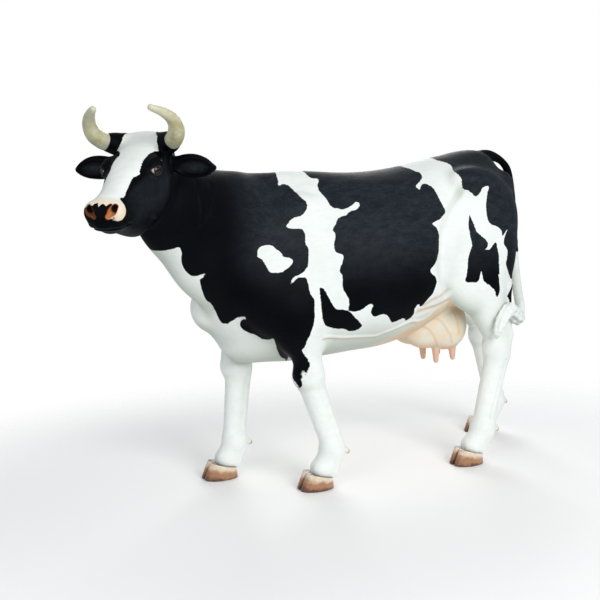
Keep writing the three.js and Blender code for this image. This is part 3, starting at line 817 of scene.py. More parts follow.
points, quads = surface_of(moulding, LINES)
SKINNED = ["trunk", "neck", "head", "udder", "tail_dock", "tail", "tail_switch"]
SKINNED += [f"ear_{side}" for side in ("left", "right")]
SKINNED += [f"teat_{end}_{side}" for end in ("front", "rear") for side in ("left", "right")]
SKINNED += [f"leg_{leg}_{part}" for leg in legs for part in ("lower", "upper")]
skin = piece("skin", points, quads, "white_paint", *SKINNED)
points = points.astype(np.float32)

# ---- The moulding: markings ------------------------------------------------------------
# Black patches are sprayed through masks over the white ground. Each is an outline in the
# girth chart, so that it runs over the back and round the body, and the blaze is an outline
# in the head's own chart, which is unrolled from the ridge of the face.

NECK_PATCH = [
    (370, 20), (375, 35), (375, 45), (385, 65), (370, 60), (355, 60), (335, 70), (325, 100),
    (320, 130), (300, 145), (300, 160), (315, 180), (340, 195), (370, 205), (385, 215), (400, 235),
    (405, 240), (395, 245), (375, 245), (340, 240), (330, 250), (325, 270), (330, 300), (320, 320),
    (320, 345), (325, 390), (330, 415), (345, 445), (365, 470), (390, 490), (405, 515), (415, 535),
    (395, 515), (375, 490), (350, 480), (340, 480), (335, 505), (330, 545), (315, 565), (315, 605),
    (315, 650), (325, 685), (330, 700), (340, 715), (345, 735), (355, 750), (340, 760), (320, 770),
    (315, 775), (325, 785), (345, 795), (350, 805), (345, 810), (345, 825), (360, 825), (365, 830),
    (365, 840), (335, 905), (365, 870), (390, 860), (425, 825), (455, 785), (470, 775), (475, 795),
    (495, 815), (525, 820), (555, 835), (570, 840), (580, 845), (595, 845), (595, 825), (585, 795),
    (590, 790), (600, 810), (620, 850), (635, 880), (645, 895), (665, 915), (690, 910), (720, 895),
    (745, 895), (775, 870), (790, 840), (780, 825), (770, 800), (760, 785), (780, 810), (800, 835),
    (825, 860), (845, 865), (865, 860), (875, 840), (875, 815), (885, 790), (895, 775), (910, 795),
    (920, 820), (935, 830), (955, 840), (970, 845), (980, 855), (990, 880), (1040, 900),
    (1300, 900), (1300, -900), (1000, -870), (960, -830), (900, -800), (830, -835), (760, -790),
    (690, -800), (640, -770), (560, -790), (500, -740), (450, -745), (400, -700), (365, -640),
    (380, -575), (330, -520), (290, -440), (325, -370), (280, -300), (320, -245), (390, -210),
    (350, -150), (300, -95), (345, -45),
]
BARREL_PATCH = [
    (235, 35), (225, 50), (195, 55), (200, 70), (215, 85), (215, 110), (205, 135), (200, 150),
    (190, 180), (165, 190), (145, 200), (110, 195), (85, 185), (70, 185), (65, 195), (80, 210),
    (100, 215), (120, 215), (140, 225), (165, 225), (185, 235), (190, 245), (210, 265), (205, 280),
    (205, 300), (215, 325), (215, 355), (205, 370), (185, 385), (190, 410), (200, 430), (205, 450),
    (195, 470), (195, 520), (180, 550), (165, 575), (165, 610), (150, 620), (130, 620), (110, 615),
    (95, 605), (75, 595), (60, 600), (65, 620), (60, 635), (40, 645), (10, 640), (-15, 645),
    (-35, 665), (-50, 680), (-70, 680), (-95, 675), (-110, 675), (-130, 690), (-150, 685),
    (-165, 670), (-160, 650), (-175, 635), (-195, 650), (-210, 645), (-230, 630), (-255, 615),
    (-265, 590), (-270, 570), (-255, 545), (-225, 520), (-230, 505), (-255, 490), (-270, 470),
    (-280, 440), (-285, 400), (-290, 380), (-280, 350), (-265, 335), (-255, 330), (-275, 320),
    (-300, 315), (-325, 305), (-350, 290), (-345, 270), (-335, 240), (-330, 205), (-325, 180),
    (-320, 170), (-300, 150), (-280, 150), (-265, 160), (-250, 175), (-245, 165), (-240, 155),
    (-275, 135), (-300, 115), (-305, 90), (-290, 75), (-280, 55), (-265, 25), (-270, -40),
    (-300, -90), (-350, -150), (-300, -230), (-310, -310), (-235, -370), (-250, -455),
    (-185, -520), (-95, -500), (-60, -430), (15, -445), (75, -385), (55, -305), (120, -265),
    (150, -185), (225, -135), (195, -65), (235, -20),
]
RUMP_PATCH = [
    (-435, 10), (-435, 45), (-450, 65), (-465, 90), (-465, 115), (-440, 160), (-445, 195),
    (-450, 210), (-455, 225), (-470, 240), (-495, 260), (-515, 280), (-530, 280), (-540, 270),
    (-545, 265), (-560, 265), (-580, 270), (-575, 285), (-570, 315), (-565, 340), (-565, 375),
    (-570, 405), (-585, 435), (-615, 455), (-635, 470), (-650, 490), (-655, 515), (-670, 500),
    (-690, 485), (-670, 520), (-665, 555), (-690, 590), (-690, 625), (-685, 650), (-715, 695),
    (-740, 725), (-735, 745), (-730, 765), (-900, 765), (-900, -560), (-760, -600), (-700, -540),
    (-715, -455), (-640, -400), (-655, -300), (-600, -250), (-540, -275), (-470, -215),
    (-480, -130), (-425, -70),
]
THIGH_PATCH = [
    (-475, 345), (-485, 370), (-500, 410), (-510, 440), (-525, 460), (-545, 485), (-565, 510),
    (-570, 535), (-560, 545), (-540, 545), (-565, 550), (-580, 555), (-595, 545), (-610, 535),
    (-620, 540), (-625, 565), (-635, 595), (-635, 620), (-635, 665), (-640, 695), (-645, 710),
    (-635, 725), (-620, 720), (-610, 705), (-590, 690), (-570, 675), (-550, 665), (-535, 650),
    (-530, 635), (-525, 620), (-520, 625), (-515, 640), (-500, 650), (-475, 645), (-450, 640),
    (-445, 630), (-450, 620), (-455, 580), (-460, 545), (-475, 515), (-485, 495), (-475, 450),
    (-465, 395), (-470, 360),
]
ELBOW_PATCH = [
    (290, 510), (275, 515), (260, 540), (245, 570), (220, 605), (195, 610), (160, 620), (135, 640),
    (105, 665), (90, 680), (105, 695), (125, 700), (145, 700), (170, 690), (200, 690), (240, 680),
    (265, 660), (280, 615), (285, 565),
]
ISLAND = [
    (545, 440), (545, 410), (535, 375), (520, 360), (495, 350), (475, 350), (460, 365), (440, 380),
    (430, 400), (410, 395), (395, 400), (390, 410), (405, 440), (430, 470), (445, 485), (480, 505),
    (500, 510), (510, 490), (520, 465), (525, 450), (535, 445),
]
RIGHT_THIGH_PATCH = [
    (-470, -380), (-520, -430), (-560, -520), (-640, -540), (-640, -630), (-600, -700),
    (-540, -680), (-520, -610), (-470, -640), (-430, -590), (-450, -500), (-430, -430),
]
RIGHT_BELLY_PATCH = [
    (130, -560), (70, -600), (20, -640), (60, -700), (150, -705), (230, -680), (255, -620),
    (200, -590),
]
BLAZE = [
    (-42, 10), (-30, 30), (10, 37), (52, 50), (74, 71), (83, 72), (117, 56), (157, 49), (196, 48),
    (236, 52), (257, 60), (273, 55), (292, 48), (326, 50), (377, 55), (403, 58), (422, 51), (435, 55),
    (447, 71), (456, 87), (467, 97), (482, 105), (498, 104), (506, 84), (509, 60), (509, 44),
    (503, 38), (497, 42), (491, 45), (480, 41), (480, 31), (490, 20), (481, 12), (481, 2),
    (490, -9), (478, -14), (480, -29), (486, -36), (478, -50), (482, -64), (478, -84),
    (473, -99), (467, -97), (456, -87), (447, -71), (430, -58), (403, -61), (340, -58),
    (305, -56), (257, -45), (218, -47), (178, -42), (155, -34), (127, -42), (92, -62), (76, -75),
    (66, -64), (45, -49), (7, -44), (-30, -38), (-42, -15),
]
FRECKLES = [  # along the head, across, out, and size
    (490, 62, -66, 5.0), (476, 70, -84, 4.0), (494, 52, -92, 3.6), (482, -66, -72, 4.6),
    (492, -50, -88, 3.4),
]
CELL = 4.0  # the chart is worked out on a grid this fine and read between its points
TAIL_TURNS_WHITE = 945  # height where the black of the tail ends, on its middle
HOLLOW_REACH = 26  # how far out the surface is felt for hollows, where shade is painted in
EAR_CUP, EAR_CUP_SIZE = (62, 196, -106), (34, 62, 30)


def closed(outline):
    return rounded(outline + outline[:1], 3)


def depth_inside(points, outline):
    """How far inside a closed outline each point is, negative outside."""
    best = np.full(len(points), 1e9, np.float32)
    inside = np.zeros(len(points), bool)
    for a, b in zip(outline, np.roll(outline, -1, 0)):
        run = b - a
        length2 = float(run @ run)
        if length2 < 1e-6:
            continue
        q = points - a
        t = np.clip(q @ run / length2, 0, 1)
        best = np.minimum(best, (q[:, 0] - t * run[0]) ** 2 + (q[:, 1] - t * run[1]) ** 2)
        crosses = (a[1] > points[:, 1]) != (b[1] > points[:, 1])
        if crosses.any():
            at = a[0] + run[0] * (points[:, 1] - a[1]) / (run[1] or 1e-9)
            inside ^= crosses & (points[:, 0] < at)
    return np.where(inside, 1, -1) * np.sqrt(best)


def chart_reader(low, high, union, cut_out=()):
    """The depth inside any of the outlines and outside the cut ones, to be read at any place."""
    counts = [int((b - a) / CELL) + 1 for a, b in zip(low, high)]
    axes = [a + CELL * np.arange(n, dtype=np.float32) for a, n in zip(low, counts)]
    places = np.stack(np.meshgrid(*axes, indexing="ij"), -1).reshape(-1, 2)
    depth = np.full(len(places), -1e3, np.float32)
    for outline, sign in [(o, 1) for o in union] + [(o, -1) for o in cut_out]:
        path = closed(outline).astype(np.float32)
        near = ((places > path.min(0) - 60) & (places < path.max(0) + 60)).all(1)
        found = depth_inside(places[near], path)
        depth[near] = np.maximum(depth[near], found) if sign > 0 else np.minimum(depth[near], -found)
    depth = np.maximum(depth, -60).reshape(counts)

    def read(at):
        x = np.clip((at - np.array(low)) / CELL, 0, np.array(counts) - 1.001)
        i = x.astype(int)
        u, v = (x - i).T
        i, j = i.T
        return (
            depth[i, j] * (1 - u) * (1 - v) + depth[i + 1, j] * u * (1 - v)
            + depth[i, j + 1] * (1 - u) * v + depth[i + 1, j + 1] * u * v
        )

    return read


def head_chart(q):
    return np.c_[q[:, 0], 90 * np.arctan2(q[:, 1], q[:, 2] + 110)]


def smooth(low, high, value):
    t = np.clip((value - low) / (high - low), 0, 1)
    return t * t * (3 - 2 * t)


PATCHES = [
    NECK_PATCH, BARREL_PATCH, RUMP_PATCH, THIGH_PATCH, ELBOW_PATCH, RIGHT_THIGH_PATCH,
    RIGHT_BELLY_PATCH,
]
body_patches = chart_reader((-1000, -950), (1340, 950), PATCHES, [ISLAND])
blaze = chart_reader((-80, -290), (540, 290), [BLAZE])


def read_off(mass, at, size=150):
    """The mass's depth at many points, one neighbourhood at a time."""
    cells = np.floor(at / size).astype(int)
    order = np.lexsort(cells.T)
    breaks = np.flatnonzero(np.any(np.diff(cells[order], axis=0), axis=1)) + 1
    out = np.empty(len(at), np.float32)

    def fill(index):
        out[index] = mass(at[index])

    with ThreadPoolExecutor(4) as workers:
        list(workers.map(fill, np.split(order, breaks)))
    return out


normals = np.empty(len(points) * 3, np.float32)
skin.data.vertex_normals.foreach_get("vector", normals)
normals = normals.reshape(-1, 3)

q = in_head(points)
chart = girth_chart(points)
dark = body_patches(chart)
off_trunk = read_off(trunk, points)
off_legs = read_off(lambda p: np.minimum(legs["hind_left"](p), legs["hind_right"](p)), points)
on_body = np.minimum(off_trunk, off_legs)
off_udder = read_off(lambda p: np.minimum(udder(p), teats(p)), points)
off_tail = read_off(lambda p: np.minimum(tail(p), tuft(p)), points)
tail_part = smooth(-4, 4, np.minimum(on_body, off_udder) - off_tail)
above_white = np.clip(points[:, 2] - TAIL_TURNS_WHITE - 0.5 * points[:, 1], -60, 60)
dark = dark * (1 - tail_part) + above_white * tail_part
in_skull = smooth(-62, -46, q[:, 0]) * (np.abs(q[:, 1]) < 300) * (q[:, 2] > -420)
between_cuffs = np.interp(q[:, 0], (0, 60, 95, 120), (62, 70, 86, 118)) - np.abs(q[:, 1])
white_face = np.minimum(blaze(head_chart(q)), between_cuffs)
dark = dark * (1 - in_skull) - white_face * in_skull

# painted shade: darker in the hollows and on surfaces that face downward
felt = read_off(flesh, points + HOLLOW_REACH * normals)
shade = 1 - np.clip(felt / HOLLOW_REACH, 0, 1)
shade = np.maximum(shade, 0.55 * smooth(0.0, -0.9, normals[:, 2]) * smooth(300, 500, points[:, 2]))
bare = smooth(-6, 6, on_body - off_udder)
# the bare belly skin starts at a girth that climbs from the udder towards the elbow
skin_edge = np.interp(chart[:, 0], (-420, -300, -205, -100, 60), (700, 712, 716, 745, 830))
below_vein = smooth(0, 26, np.abs(chart[:, 1]) - skin_edge)
below_vein = below_vein * smooth(60, -160, chart[:, 0]) * smooth(-600, -520, points[:, 0])
bare = np.maximum(bare, below_vein * smooth(-8, 6, off_legs - off_trunk))
bare *= (points[:, 2] < 860) & (points[:, 0] < 60) & (points[:, 0] > -720) & (tail_part < 0.5)
girth_left = np.c_[chart[:, 0], np.abs(chart[:, 1])]
tan = pressing(line_distance(girth_left, BODY_LINES[MILK_VEIN][2]), 0.5, 8)
near_folds = (points[:, 0] < -100) & (points[:, 0] > -560)
near_folds &= (points[:, 2] > 700) & (points[:, 2] < 900)
for _, _, line in BODY_LINES[UDDER_FOLDS]:
    tan = np.maximum(tan, pressing(line_distance(girth_left, line), 0.6, 16) * near_folds)
under = (points[:, 2] < 760) & (points[:, 2] > 500) & (points[:, 0] < -180) & (points[:, 0] > -600)
vein_tan = np.zeros(len(points))
vein_tan[under] = pressing(veins_away(points[under]), 0.7, 8)
tan = np.maximum(tan, vein_tan * bare)
# painted shade: the bare skin turns tan in its hollows and underneath
tan = np.maximum(tan, bare * smooth(0.1, 0.7, shade))
cream = smooth(440, 476, q[:, 0]) * in_skull
rosy = np.zeros(len(points))
wet = np.zeros(len(points))
at_nose = q[:, 0] > 440
inside = np.minimum.reduce([nostril(points[at_nose]) for nostril in NOSTRILS])
rosy[at_nose] = smooth(5, 1, inside) * np.where(q[at_nose, 1] < 0, 0.3, 1)
# painted shadow deep in the back of each nostril
wet[at_nose] = smooth(4, 0, inside) * smooth(492, 482, q[at_nose, 0])
teat_ends = smooth(556, 522, points[:, 2]) * bare
cup = np.zeros(len(points))
lid = np.zeros(len(points))
for side in SIDES:
    hollow = np.linalg.norm((q * (1, side, 1) - EAR_CUP) / EAR_CUP_SIZE, axis=1)
    cup = np.maximum(cup, 1 - smooth(0.55, 1.1, hollow))
    w = (q - eye_middle(side)) @ eye_frame(side).T
    beside = (np.abs(w) < 45).all(1)
    lid[beside] = pressing(slit(w[beside]), 1, 3.5) * (w[beside, 2] > 8) * (w[beside, 2] < 27)
# painted sheen: a grey highlight on the upper body behind the neck, and on the sides of the face
dusty = 0.8 * smooth(860, 1120, points[:, 2]) * smooth(700, 480, points[:, 0]) * (1 - tail_part)
face = smooth(60, 130, q[:, 0]) * smooth(440, 300, q[:, 0])
face = face * smooth(-230, -140, q[:, 2]) * smooth(190, 140, np.abs(q[:, 1]))
dusty = np.maximum(dusty, 0.45 * face * smooth(-40, -60, q[:, 2]))

freckle = np.zeros(len(points))
for a, l, n, size in FRECKLES:
    away = np.linalg.norm(q * (1, np.sign(l), 1) - (a, abs(l), n), axis=1)
    freckle = np.maximum(freckle, smooth(size + 1, size - 1, away))


def add_values(made, **values):
    """Stores numbers for each point of a piece, for its finish to read."""
    for name, numbers in values.items():
        layer = made.data.attributes.new(name, "FLOAT", "POINT")
        layer.data.foreach_set("value", np.ascontiguousarray(numbers, np.float32))


add_values(
    skin, freckle=freckle, dark=dark, bare=bare, cream=cream, rosy=rosy, cup=cup, shade=shade,
    tan=tan, wet=wet, teat=teat_ends, lid=lid, dusty=dusty,
)

# ---- The moulding: paint ---------------------------------------------------------------
# Satin enamel over fine strokes of hair: white, with painted green-grey shade in the hollows and
# underneath, and blue-black in the patches, with a painted grey sheen on top. The udder, muzzle and teats
# are cream, peach and pink.


class Finish:
    """A material and the short way to add nodes to it."""

    def __init__(self, name):
        self.material = bpy.data.materials.new(name)
        self.material.use_nodes = True
        self.tree = self.material.node_tree
        self.shader = self.tree.nodes["Principled BSDF"]

    def node(self, kind, *inputs, **settings):
        made = self.tree.nodes.new("ShaderNode" + kind)
        for key, value in settings.items():
            setattr(made, key, value)
        for key, value in inputs:
            self.set(made, key, value)
        return made

    def set(self, node, key, value):
        if isinstance(value, bpy.types.NodeSocket):
            self.tree.links.new(value, node.inputs[key])
        else:
            node.inputs[key].default_value = value

    def attribute(self, name):
        return self.node("Attribute", attribute_name=name).outputs["Fac"]

    def math(self, operation, *values):
        return self.node("Math", *enumerate(values), operation=operation).outputs[0]

    def mix(self, share, a, b):
        return self.node("Mix", (0, share), (6, a), (7, b), data_type="RGBA").outputs[2]

    def ramp(self, value, low, high, to_low=0.0, to_high=1.0):
        inputs = enumerate((value, low, high, to_low, to_high))
        return self.node("MapRange", *inputs, interpolation_type="SMOOTHSTEP").outputs[0]

    def noise(self, vector, scale, detail=2.0, rough=0.5):
        inputs = ("Vector", vector), ("Scale", scale), ("Detail", detail), ("Roughness", rough)
        return self.node("TexNoise", *inputs).outputs["Fac"]

    def place(self, stretch=(1, 1, 1)):
        coordinates = self.node("TexCoord").outputs["Object"]
        return self.node("Mapping", ("Vector", coordinates), ("Scale", stretch)).outputs[0]

    def bump(self, height, strength, distance):
        inputs = ("Height", height), ("Strength", strength), ("Distance", distance)
        self.set(self.shader, "Normal", self.node("Bump", *inputs).outputs[0])

    def painted(self, colour, roughness, **plain):
        """Sends colour and roughness to the shader, and sets its plain values."""
        self.set(self.shader, "Base Color", colour)
        self.set(self.shader, "Roughness", roughness)
        for key, value in plain.items():
            self.shader.inputs[key.replace("_", " ")].default_value = value


coat = Finish("enamel")
everywhere = coat.place()
ragged = coat.math("MULTIPLY_ADD", coat.noise(coat.place((0.5, 1, 1)), 140, 3), 9.0, -4.5)
black = coat.ramp(coat.math("ADD", coat.attribute("dark"), ragged), -0.9, 0.9)
drift = coat.noise(everywhere, 5, 3)
strokes = coat.noise(coat.place((0.35, 1, 1)), 190, 3, 0.6)
locks = coat.noise(coat.place((0.4, 1, 0.8)), 46, 4, 0.65)
shaded = coat.attribute("shade")
# white hide: cool white, with painted green-grey shade in the hollows and underneath
white = coat.mix(coat.ramp(drift, 0.35, 0.7), (0.88, 0.91, 0.885, 1), (0.80, 0.845, 0.815, 1))
white = coat.mix(coat.ramp(strokes, 0.3, 0.75), white, (0.85, 0.885, 0.86, 1))
white = coat.mix(coat.ramp(locks, 0.45, 0.75, 0, 0.35), white, (0.70, 0.755, 0.72, 1))
white = coat.mix(coat.ramp(shaded, 0.05, 0.7, 0, 0.9), white, (0.44, 0.49, 0.42, 1))
# black hide: blue-black, with a painted grey sheen on the back, shoulders, flanks and cheeks
night = coat.mix(
    coat.ramp(drift, 0.3, 0.7), (0.0008, 0.0010, 0.0022, 1), (0.0020, 0.0026, 0.0045, 1)
)
sheen_colour = coat.mix(coat.ramp(locks, 0.3, 0.7), (0.016, 0.021, 0.028, 1), (0.030, 0.038, 0.047, 1))
sheen_share = coat.math("MULTIPLY", coat.attribute("dusty"), coat.ramp(strokes, 0.2, 0.65, 0.55, 1.0))
night = coat.mix(sheen_share, night, sheen_colour)
# painted highlight in the hollow of each ear
ear_highlight = coat.math("MULTIPLY", coat.attribute("cup"), coat.ramp(locks, 0.3, 0.7, 0.4, 1.0))
night = coat.mix(ear_highlight, night, (0.036, 0.044, 0.052, 1))
# painted shade: the black darker still in the hollows and underneath
night = coat.mix(coat.ramp(shaded, 0.1, 0.8, 0, 0.8), night, (0.0015, 0.0018, 0.003, 1))
# bare skin: nearly white on the quarters of the udder, tan round the veins and folds, and painted tan
# shade in its hollows and underneath
clouds = coat.ramp(coat.noise(everywhere, 16, 2), 0.35, 0.65)
tone = coat.mix(clouds, (0.76, 0.73, 0.62, 1), (0.80, 0.67, 0.51, 1))
paint = coat.mix(coat.attribute("bare"), white, tone)
paint = coat.mix(coat.ramp(coat.attribute("tan"), 0.05, 1.0, 0, 0.85), paint, (0.70, 0.50, 0.33, 1))
paint = coat.mix(coat.attribute("teat"), paint, (0.72, 0.47, 0.34, 1))
paint = coat.mix(coat.attribute("cream"), paint, (0.86, 0.74, 0.58, 1))
paint = coat.mix(coat.attribute("freckle"), paint, (0.03, 0.025, 0.02, 1))
paint = coat.mix(black, paint, night)
paint = coat.mix(coat.attribute("rosy"), paint, (0.50, 0.17, 0.06, 1))
# painted shadow deep in the nostrils
paint = coat.mix(coat.attribute("wet"), paint, (0.012, 0.006, 0.004, 1))
paint = coat.mix(coat.attribute("lid"), paint, (0.045, 0.040, 0.045, 1))
gloss = coat.ramp(strokes, 0.2, 0.8, 0.42, 0.55)
gloss = coat.mix(coat.attribute("lid"), gloss, (0.2, 0.2, 0.2, 1))
coat.painted(paint, gloss, Specular_IOR_Level=0.05)
height = coat.math("MULTIPLY_ADD", locks, 1.6, strokes)
coat.bump(height, 0.45, 0.0014)
skin.data.materials.append(coat.material)

# ---- Horns -----------------------------------------------------------------------------
# Hollow-cast resin horns set into the cuffs at the sides of the poll. They curve out, forward
# and in to blunt tips, with faint growth rings near the root, and are stained and varnished.

HORN = [
    (50, 127, -2, 32.8),
    (63, 142, 14, 32.8),
    (79, 160, 45, 31.2),
    (86, 165, 80, 27.2),
    (97, 156, 114, 22.5),
    (118, 135, 145, 17),
    (144, 109, 172, 12),
]


def wrap(rings):
    """Triangles over rings of as many points each, closed at both ends."""
    rings = np.asarray(rings)
    m, n = rings.shape[:2]
    points = np.vstack([rings.reshape(-1, 3), rings[0].mean(0), rings[-1].mean(0)])
    i, j = np.meshgrid(range(m - 1), range(n), indexing="ij")
    a, b = i * n + j, i * n + (j + 1) % n
    sides = np.concatenate([np.stack([a, b, b + n], -1), np.stack([a, b + n, a + n], -1)])
    sides = sides.reshape(-1, 3)
    j = np.arange(n)
    start = np.stack([np.full(n, m * n), (j + 1) % n, j], 1)
    end = np.stack([np.full(n, m * n + 1), (m - 1) * n + j, (m - 1) * n + (j + 1) % n], 1)
    return points, np.vstack([sides, start, end])


def sweep(rows, around, steps, swell=lambda t, angle: 0.0):
    """Rings along rows of x, y, z and radius, with a round end."""
    path = rounded(rows, steps)
    line, size = path[:, :3], path[:, 3]
    tangent = np.gradient(line, axis=0)
    tangent /= np.linalg.norm(tangent, axis=1)[:, None]
    up = np.cross(tangent[0], (0, 1, 0.3))
    angle = np.linspace(0, 2 * math.pi, around, endpoint=False)
    rings = []
    for k, (at, ahead, r) in enumerate(zip(line, tangent, size)):
        up = up - ahead * (up @ ahead)
        up /= np.linalg.norm(up)
        side = np.cross(ahead, up)
        t = k / (len(line) - 1)
        r = r + swell(t, angle)
        rings.append(at + (np.outer(np.cos(angle) * r, up) + np.outer(np.sin(angle) * r, side)))
    for bend in np.radians([25, 50, 70, 84]):
        shrink = (rings[len(line) - 1] - line[-1]) * math.cos(bend)
        rings.append(line[-1] + shrink + tangent[-1] * size[-1] * math.sin(bend))
    return np.array(rings)


def growth(t, angle):
    rings = np.sin(t * 120) * 0.2 * np.exp(-((t / 0.28) ** 2))
    return rings + 0.4 * np.sin(3 * angle + 5 * t) * (1 - t)


def mottled_stain():
    """Stain wiped on by hand: two tones in soft clouds, and how deep each place took it."""
    made = bpy.data.node_groups.new("mottled stain", "ShaderNodeTree")
    for name, kind in (("Pale", "Color"), ("Deep", "Color"), ("Scale", "Float"), ("Place", "Vector")):
        made.interface.new_socket(name, in_out="INPUT", socket_type="NodeSocket" + kind)
    for name, kind in (("Color", "Color"), ("Cloud", "Float")):
        made.interface.new_socket(name, in_out="OUTPUT", socket_type="NodeSocket" + kind)
    inside = made.nodes
    given, result = inside.new("NodeGroupInput"), inside.new("NodeGroupOutput")
    cloud, step, tones = (inside.new("ShaderNode" + kind) for kind in ("TexNoise", "MapRange", "Mix"))
    cloud.inputs["Detail"].default_value = 4
    cloud.inputs["Roughness"].default_value = 0.6
    step.interpolation_type = "SMOOTHSTEP"
    step.inputs["From Min"].default_value = 0.36
    step.inputs["From Max"].default_value = 0.66
    tones.data_type = "RGBA"
    for source, target in (
        (given.outputs["Place"], cloud.inputs["Vector"]), (given.outputs["Scale"], cloud.inputs["Scale"]),
        (cloud.outputs["Fac"], step.inputs["Value"]), (step.outputs["Result"], tones.inputs[0]),
        (given.outputs["Pale"], tones.inputs[6]), (given.outputs["Deep"], tones.inputs[7]),
        (tones.outputs[2], result.inputs["Color"]), (cloud.outputs["Fac"], result.inputs["Cloud"]),
    ):
        made.links.new(source, target)
    return made


mottled = mottled_stain()


def stained(finish, scale, pale, deep):
    """The mottled stain's colour and depth in a finish."""
    made = finish.tree.nodes.new("ShaderNodeGroup")
    made.node_tree = mottled
    for key, value in (("Place", finish.place()), ("Scale", scale), ("Pale", pale), ("Deep", deep)):
        finish.set(made, key, value)
    return made.outputs["Color"], made.outputs["Cloud"]


horn_finish = Finish("horn stain")
length = horn_finish.attribute("along")
fine = horn_finish.noise(horn_finish.place(), 160, 3, 0.6)
stain, streak = stained(horn_finish, 26, (0.59, 0.57, 0.39, 1), (0.42, 0.39, 0.22, 1))
stain = horn_finish.mix(horn_finish.ramp(length, 0.55, 1.0), stain, (0.66, 0.64, 0.49, 1))
stain = horn_finish.mix(horn_finish.ramp(length, 0.22, 0.02), stain, (0.45, 0.46, 0.37, 1))
stain = horn_finish.mix(horn_finish.ramp(fine, 0.45, 0.75, 0, 0.35), stain, (0.36, 0.33, 0.20, 1))
horn_finish.painted(stain, horn_finish.ramp(fine, 0.2, 0.8, 0.28, 0.42))
horn_finish.bump(streak, 0.15, 0.001)

for side, word in zip(SIDES, ("left", "right")):
    rows = [(*head_point(a, side * l, n), r) for a, l, n, r in HORN]
    rings = sweep(rows, 48, 14, growth)
    horn = piece(f"horn_{word}_shaped", *wrap(rings), "horn_paint", f"horn_{word}")
    share = np.repeat(np.linspace(0, 1, len(rings)), rings.shape[1])
    add_values(horn, along=np.append(share, (0, 1)))
    horn.data.materials.append(horn_finish.material)

# ---- Eyes ------------------------------------------------------------------------------
# Cast resin balls set behind the lids, painted with a dark brown iris, a wide oval pupil and
# a little white at the corners, under thick clear lacquer.

eye_finish = Finish("eye lacquer")
across = eye_finish.attribute("across")
iris = eye_finish.ramp(across, 0.92, 1.04)
pupil = eye_finish.ramp(eye_finish.attribute("pupil"), 0.9, 1.05)
speckle = eye_finish.noise(eye_finish.place(), 700, 3)
speckle = eye_finish.ramp(speckle, 0.3, 0.7)
brown = eye_finish.mix(speckle, (0.035, 0.014, 0.007, 1), (0.012, 0.006, 0.004, 1))
ball_paint = eye_finish.mix(pupil, (0.002, 0.002, 0.003, 1), brown)
ball_paint = eye_finish.mix(iris, ball_paint, (0.70, 0.58, 0.54, 1))
eye_finish.painted(
    ball_paint, 0.06, Specular_IOR_Level=0.1, Coat_Weight=0.55, Coat_Roughness=0.03
)

for side, word in zip(SIDES, ("left", "right")):
    axes = eye_frame(side)
    turn = np.linspace(0, 2 * math.pi, 64, endpoint=False)
    turn, drop = np.meshgrid(turn, np.linspace(2, 178, 48))
    drop = np.radians(drop)
    local = np.stack([np.sin(drop) * np.cos(turn), np.sin(drop) * np.sin(turn), np.cos(drop)], -1)
    off = np.hypot(local[..., 0], local[..., 1]) * EYE_RADIUS
    bulge = 0.3 * np.exp(-((off / 10) ** 4)) * (local[..., 2] > 0)
    rings = local * (EYE_RADIUS - 0.6 + bulge)[..., None]
    shown = (rings @ axes + eye_middle(side)).reshape(-1, 3).astype(np.float32)
    made, faces = wrap((POLL + shown @ HEAD).reshape(*rings.shape))
    if side < 0:
        faces = faces[:, ::-1]
    eye = piece(f"eye_{word}_ball", made, faces, "eye_paint", f"eye_{word}")
    flat = rings.reshape(-1, 3)
    back = np.where(flat[:, 2] < 0, 4.0, 0.0)
    add_values(
        eye,
        across=np.append(np.hypot(flat[:, 0], flat[:, 1]) / 16.5 + back, (0, 5)),
        pupil=np.append(np.hypot(flat[:, 0] / 10.5, flat[:, 1] / 7.0) + back, (0, 5)),
    )
    eye.data.materials.append(eye_finish.material)

# ---- Hooves ----------------------------------------------------------------------------
# Each foot has two claws, cast in resin and stood flat on the floor. Their walls slope back
# from the toe, ripple with growth, and are varnished from cream at the top to dark brown.

hoof_finish = Finish("hoof varnish")
rise = hoof_finish.attribute("rise")
toe = hoof_finish.attribute("toe")
cream, cloudy = stained(hoof_finish, 22, (0.86, 0.76, 0.62, 1), (0.80, 0.64, 0.47, 1))
grain = hoof_finish.noise(hoof_finish.place((1, 1, 0.12)), 320, 3, 0.6)
level = hoof_finish.math("ADD", rise, hoof_finish.ramp(cloudy, 0.2, 0.8, -0.16, 0.16))
wall = hoof_finish.mix(hoof_finish.ramp(level, 0.46, 0.84), (0.40, 0.19, 0.085, 1), cream)
wall = hoof_finish.mix(hoof_finish.ramp(level, 0.30, 0.02), wall, (0.075, 0.026, 0.016, 1))
wall = hoof_finish.mix(hoof_finish.ramp(toe, 0.55, 1.0, 0, 0.75), wall, (0.10, 0.035, 0.02, 1))
wall = hoof_finish.mix(hoof_finish.ramp(grain, 0.35, 0.8, 0, 0.4), wall, (0.22, 0.09, 0.04, 1))
wall = hoof_finish.mix(hoof_finish.ramp(rise, 0.975, 1.0), wall, (0.16, 0.14, 0.12, 1))
hoof_finish.painted(wall, hoof_finish.ramp(grain, 0.2, 0.8, 0.22, 0.36), Coat_Weight=0.5)
hoof_finish.bump(grain, 0.2, 0.0006)


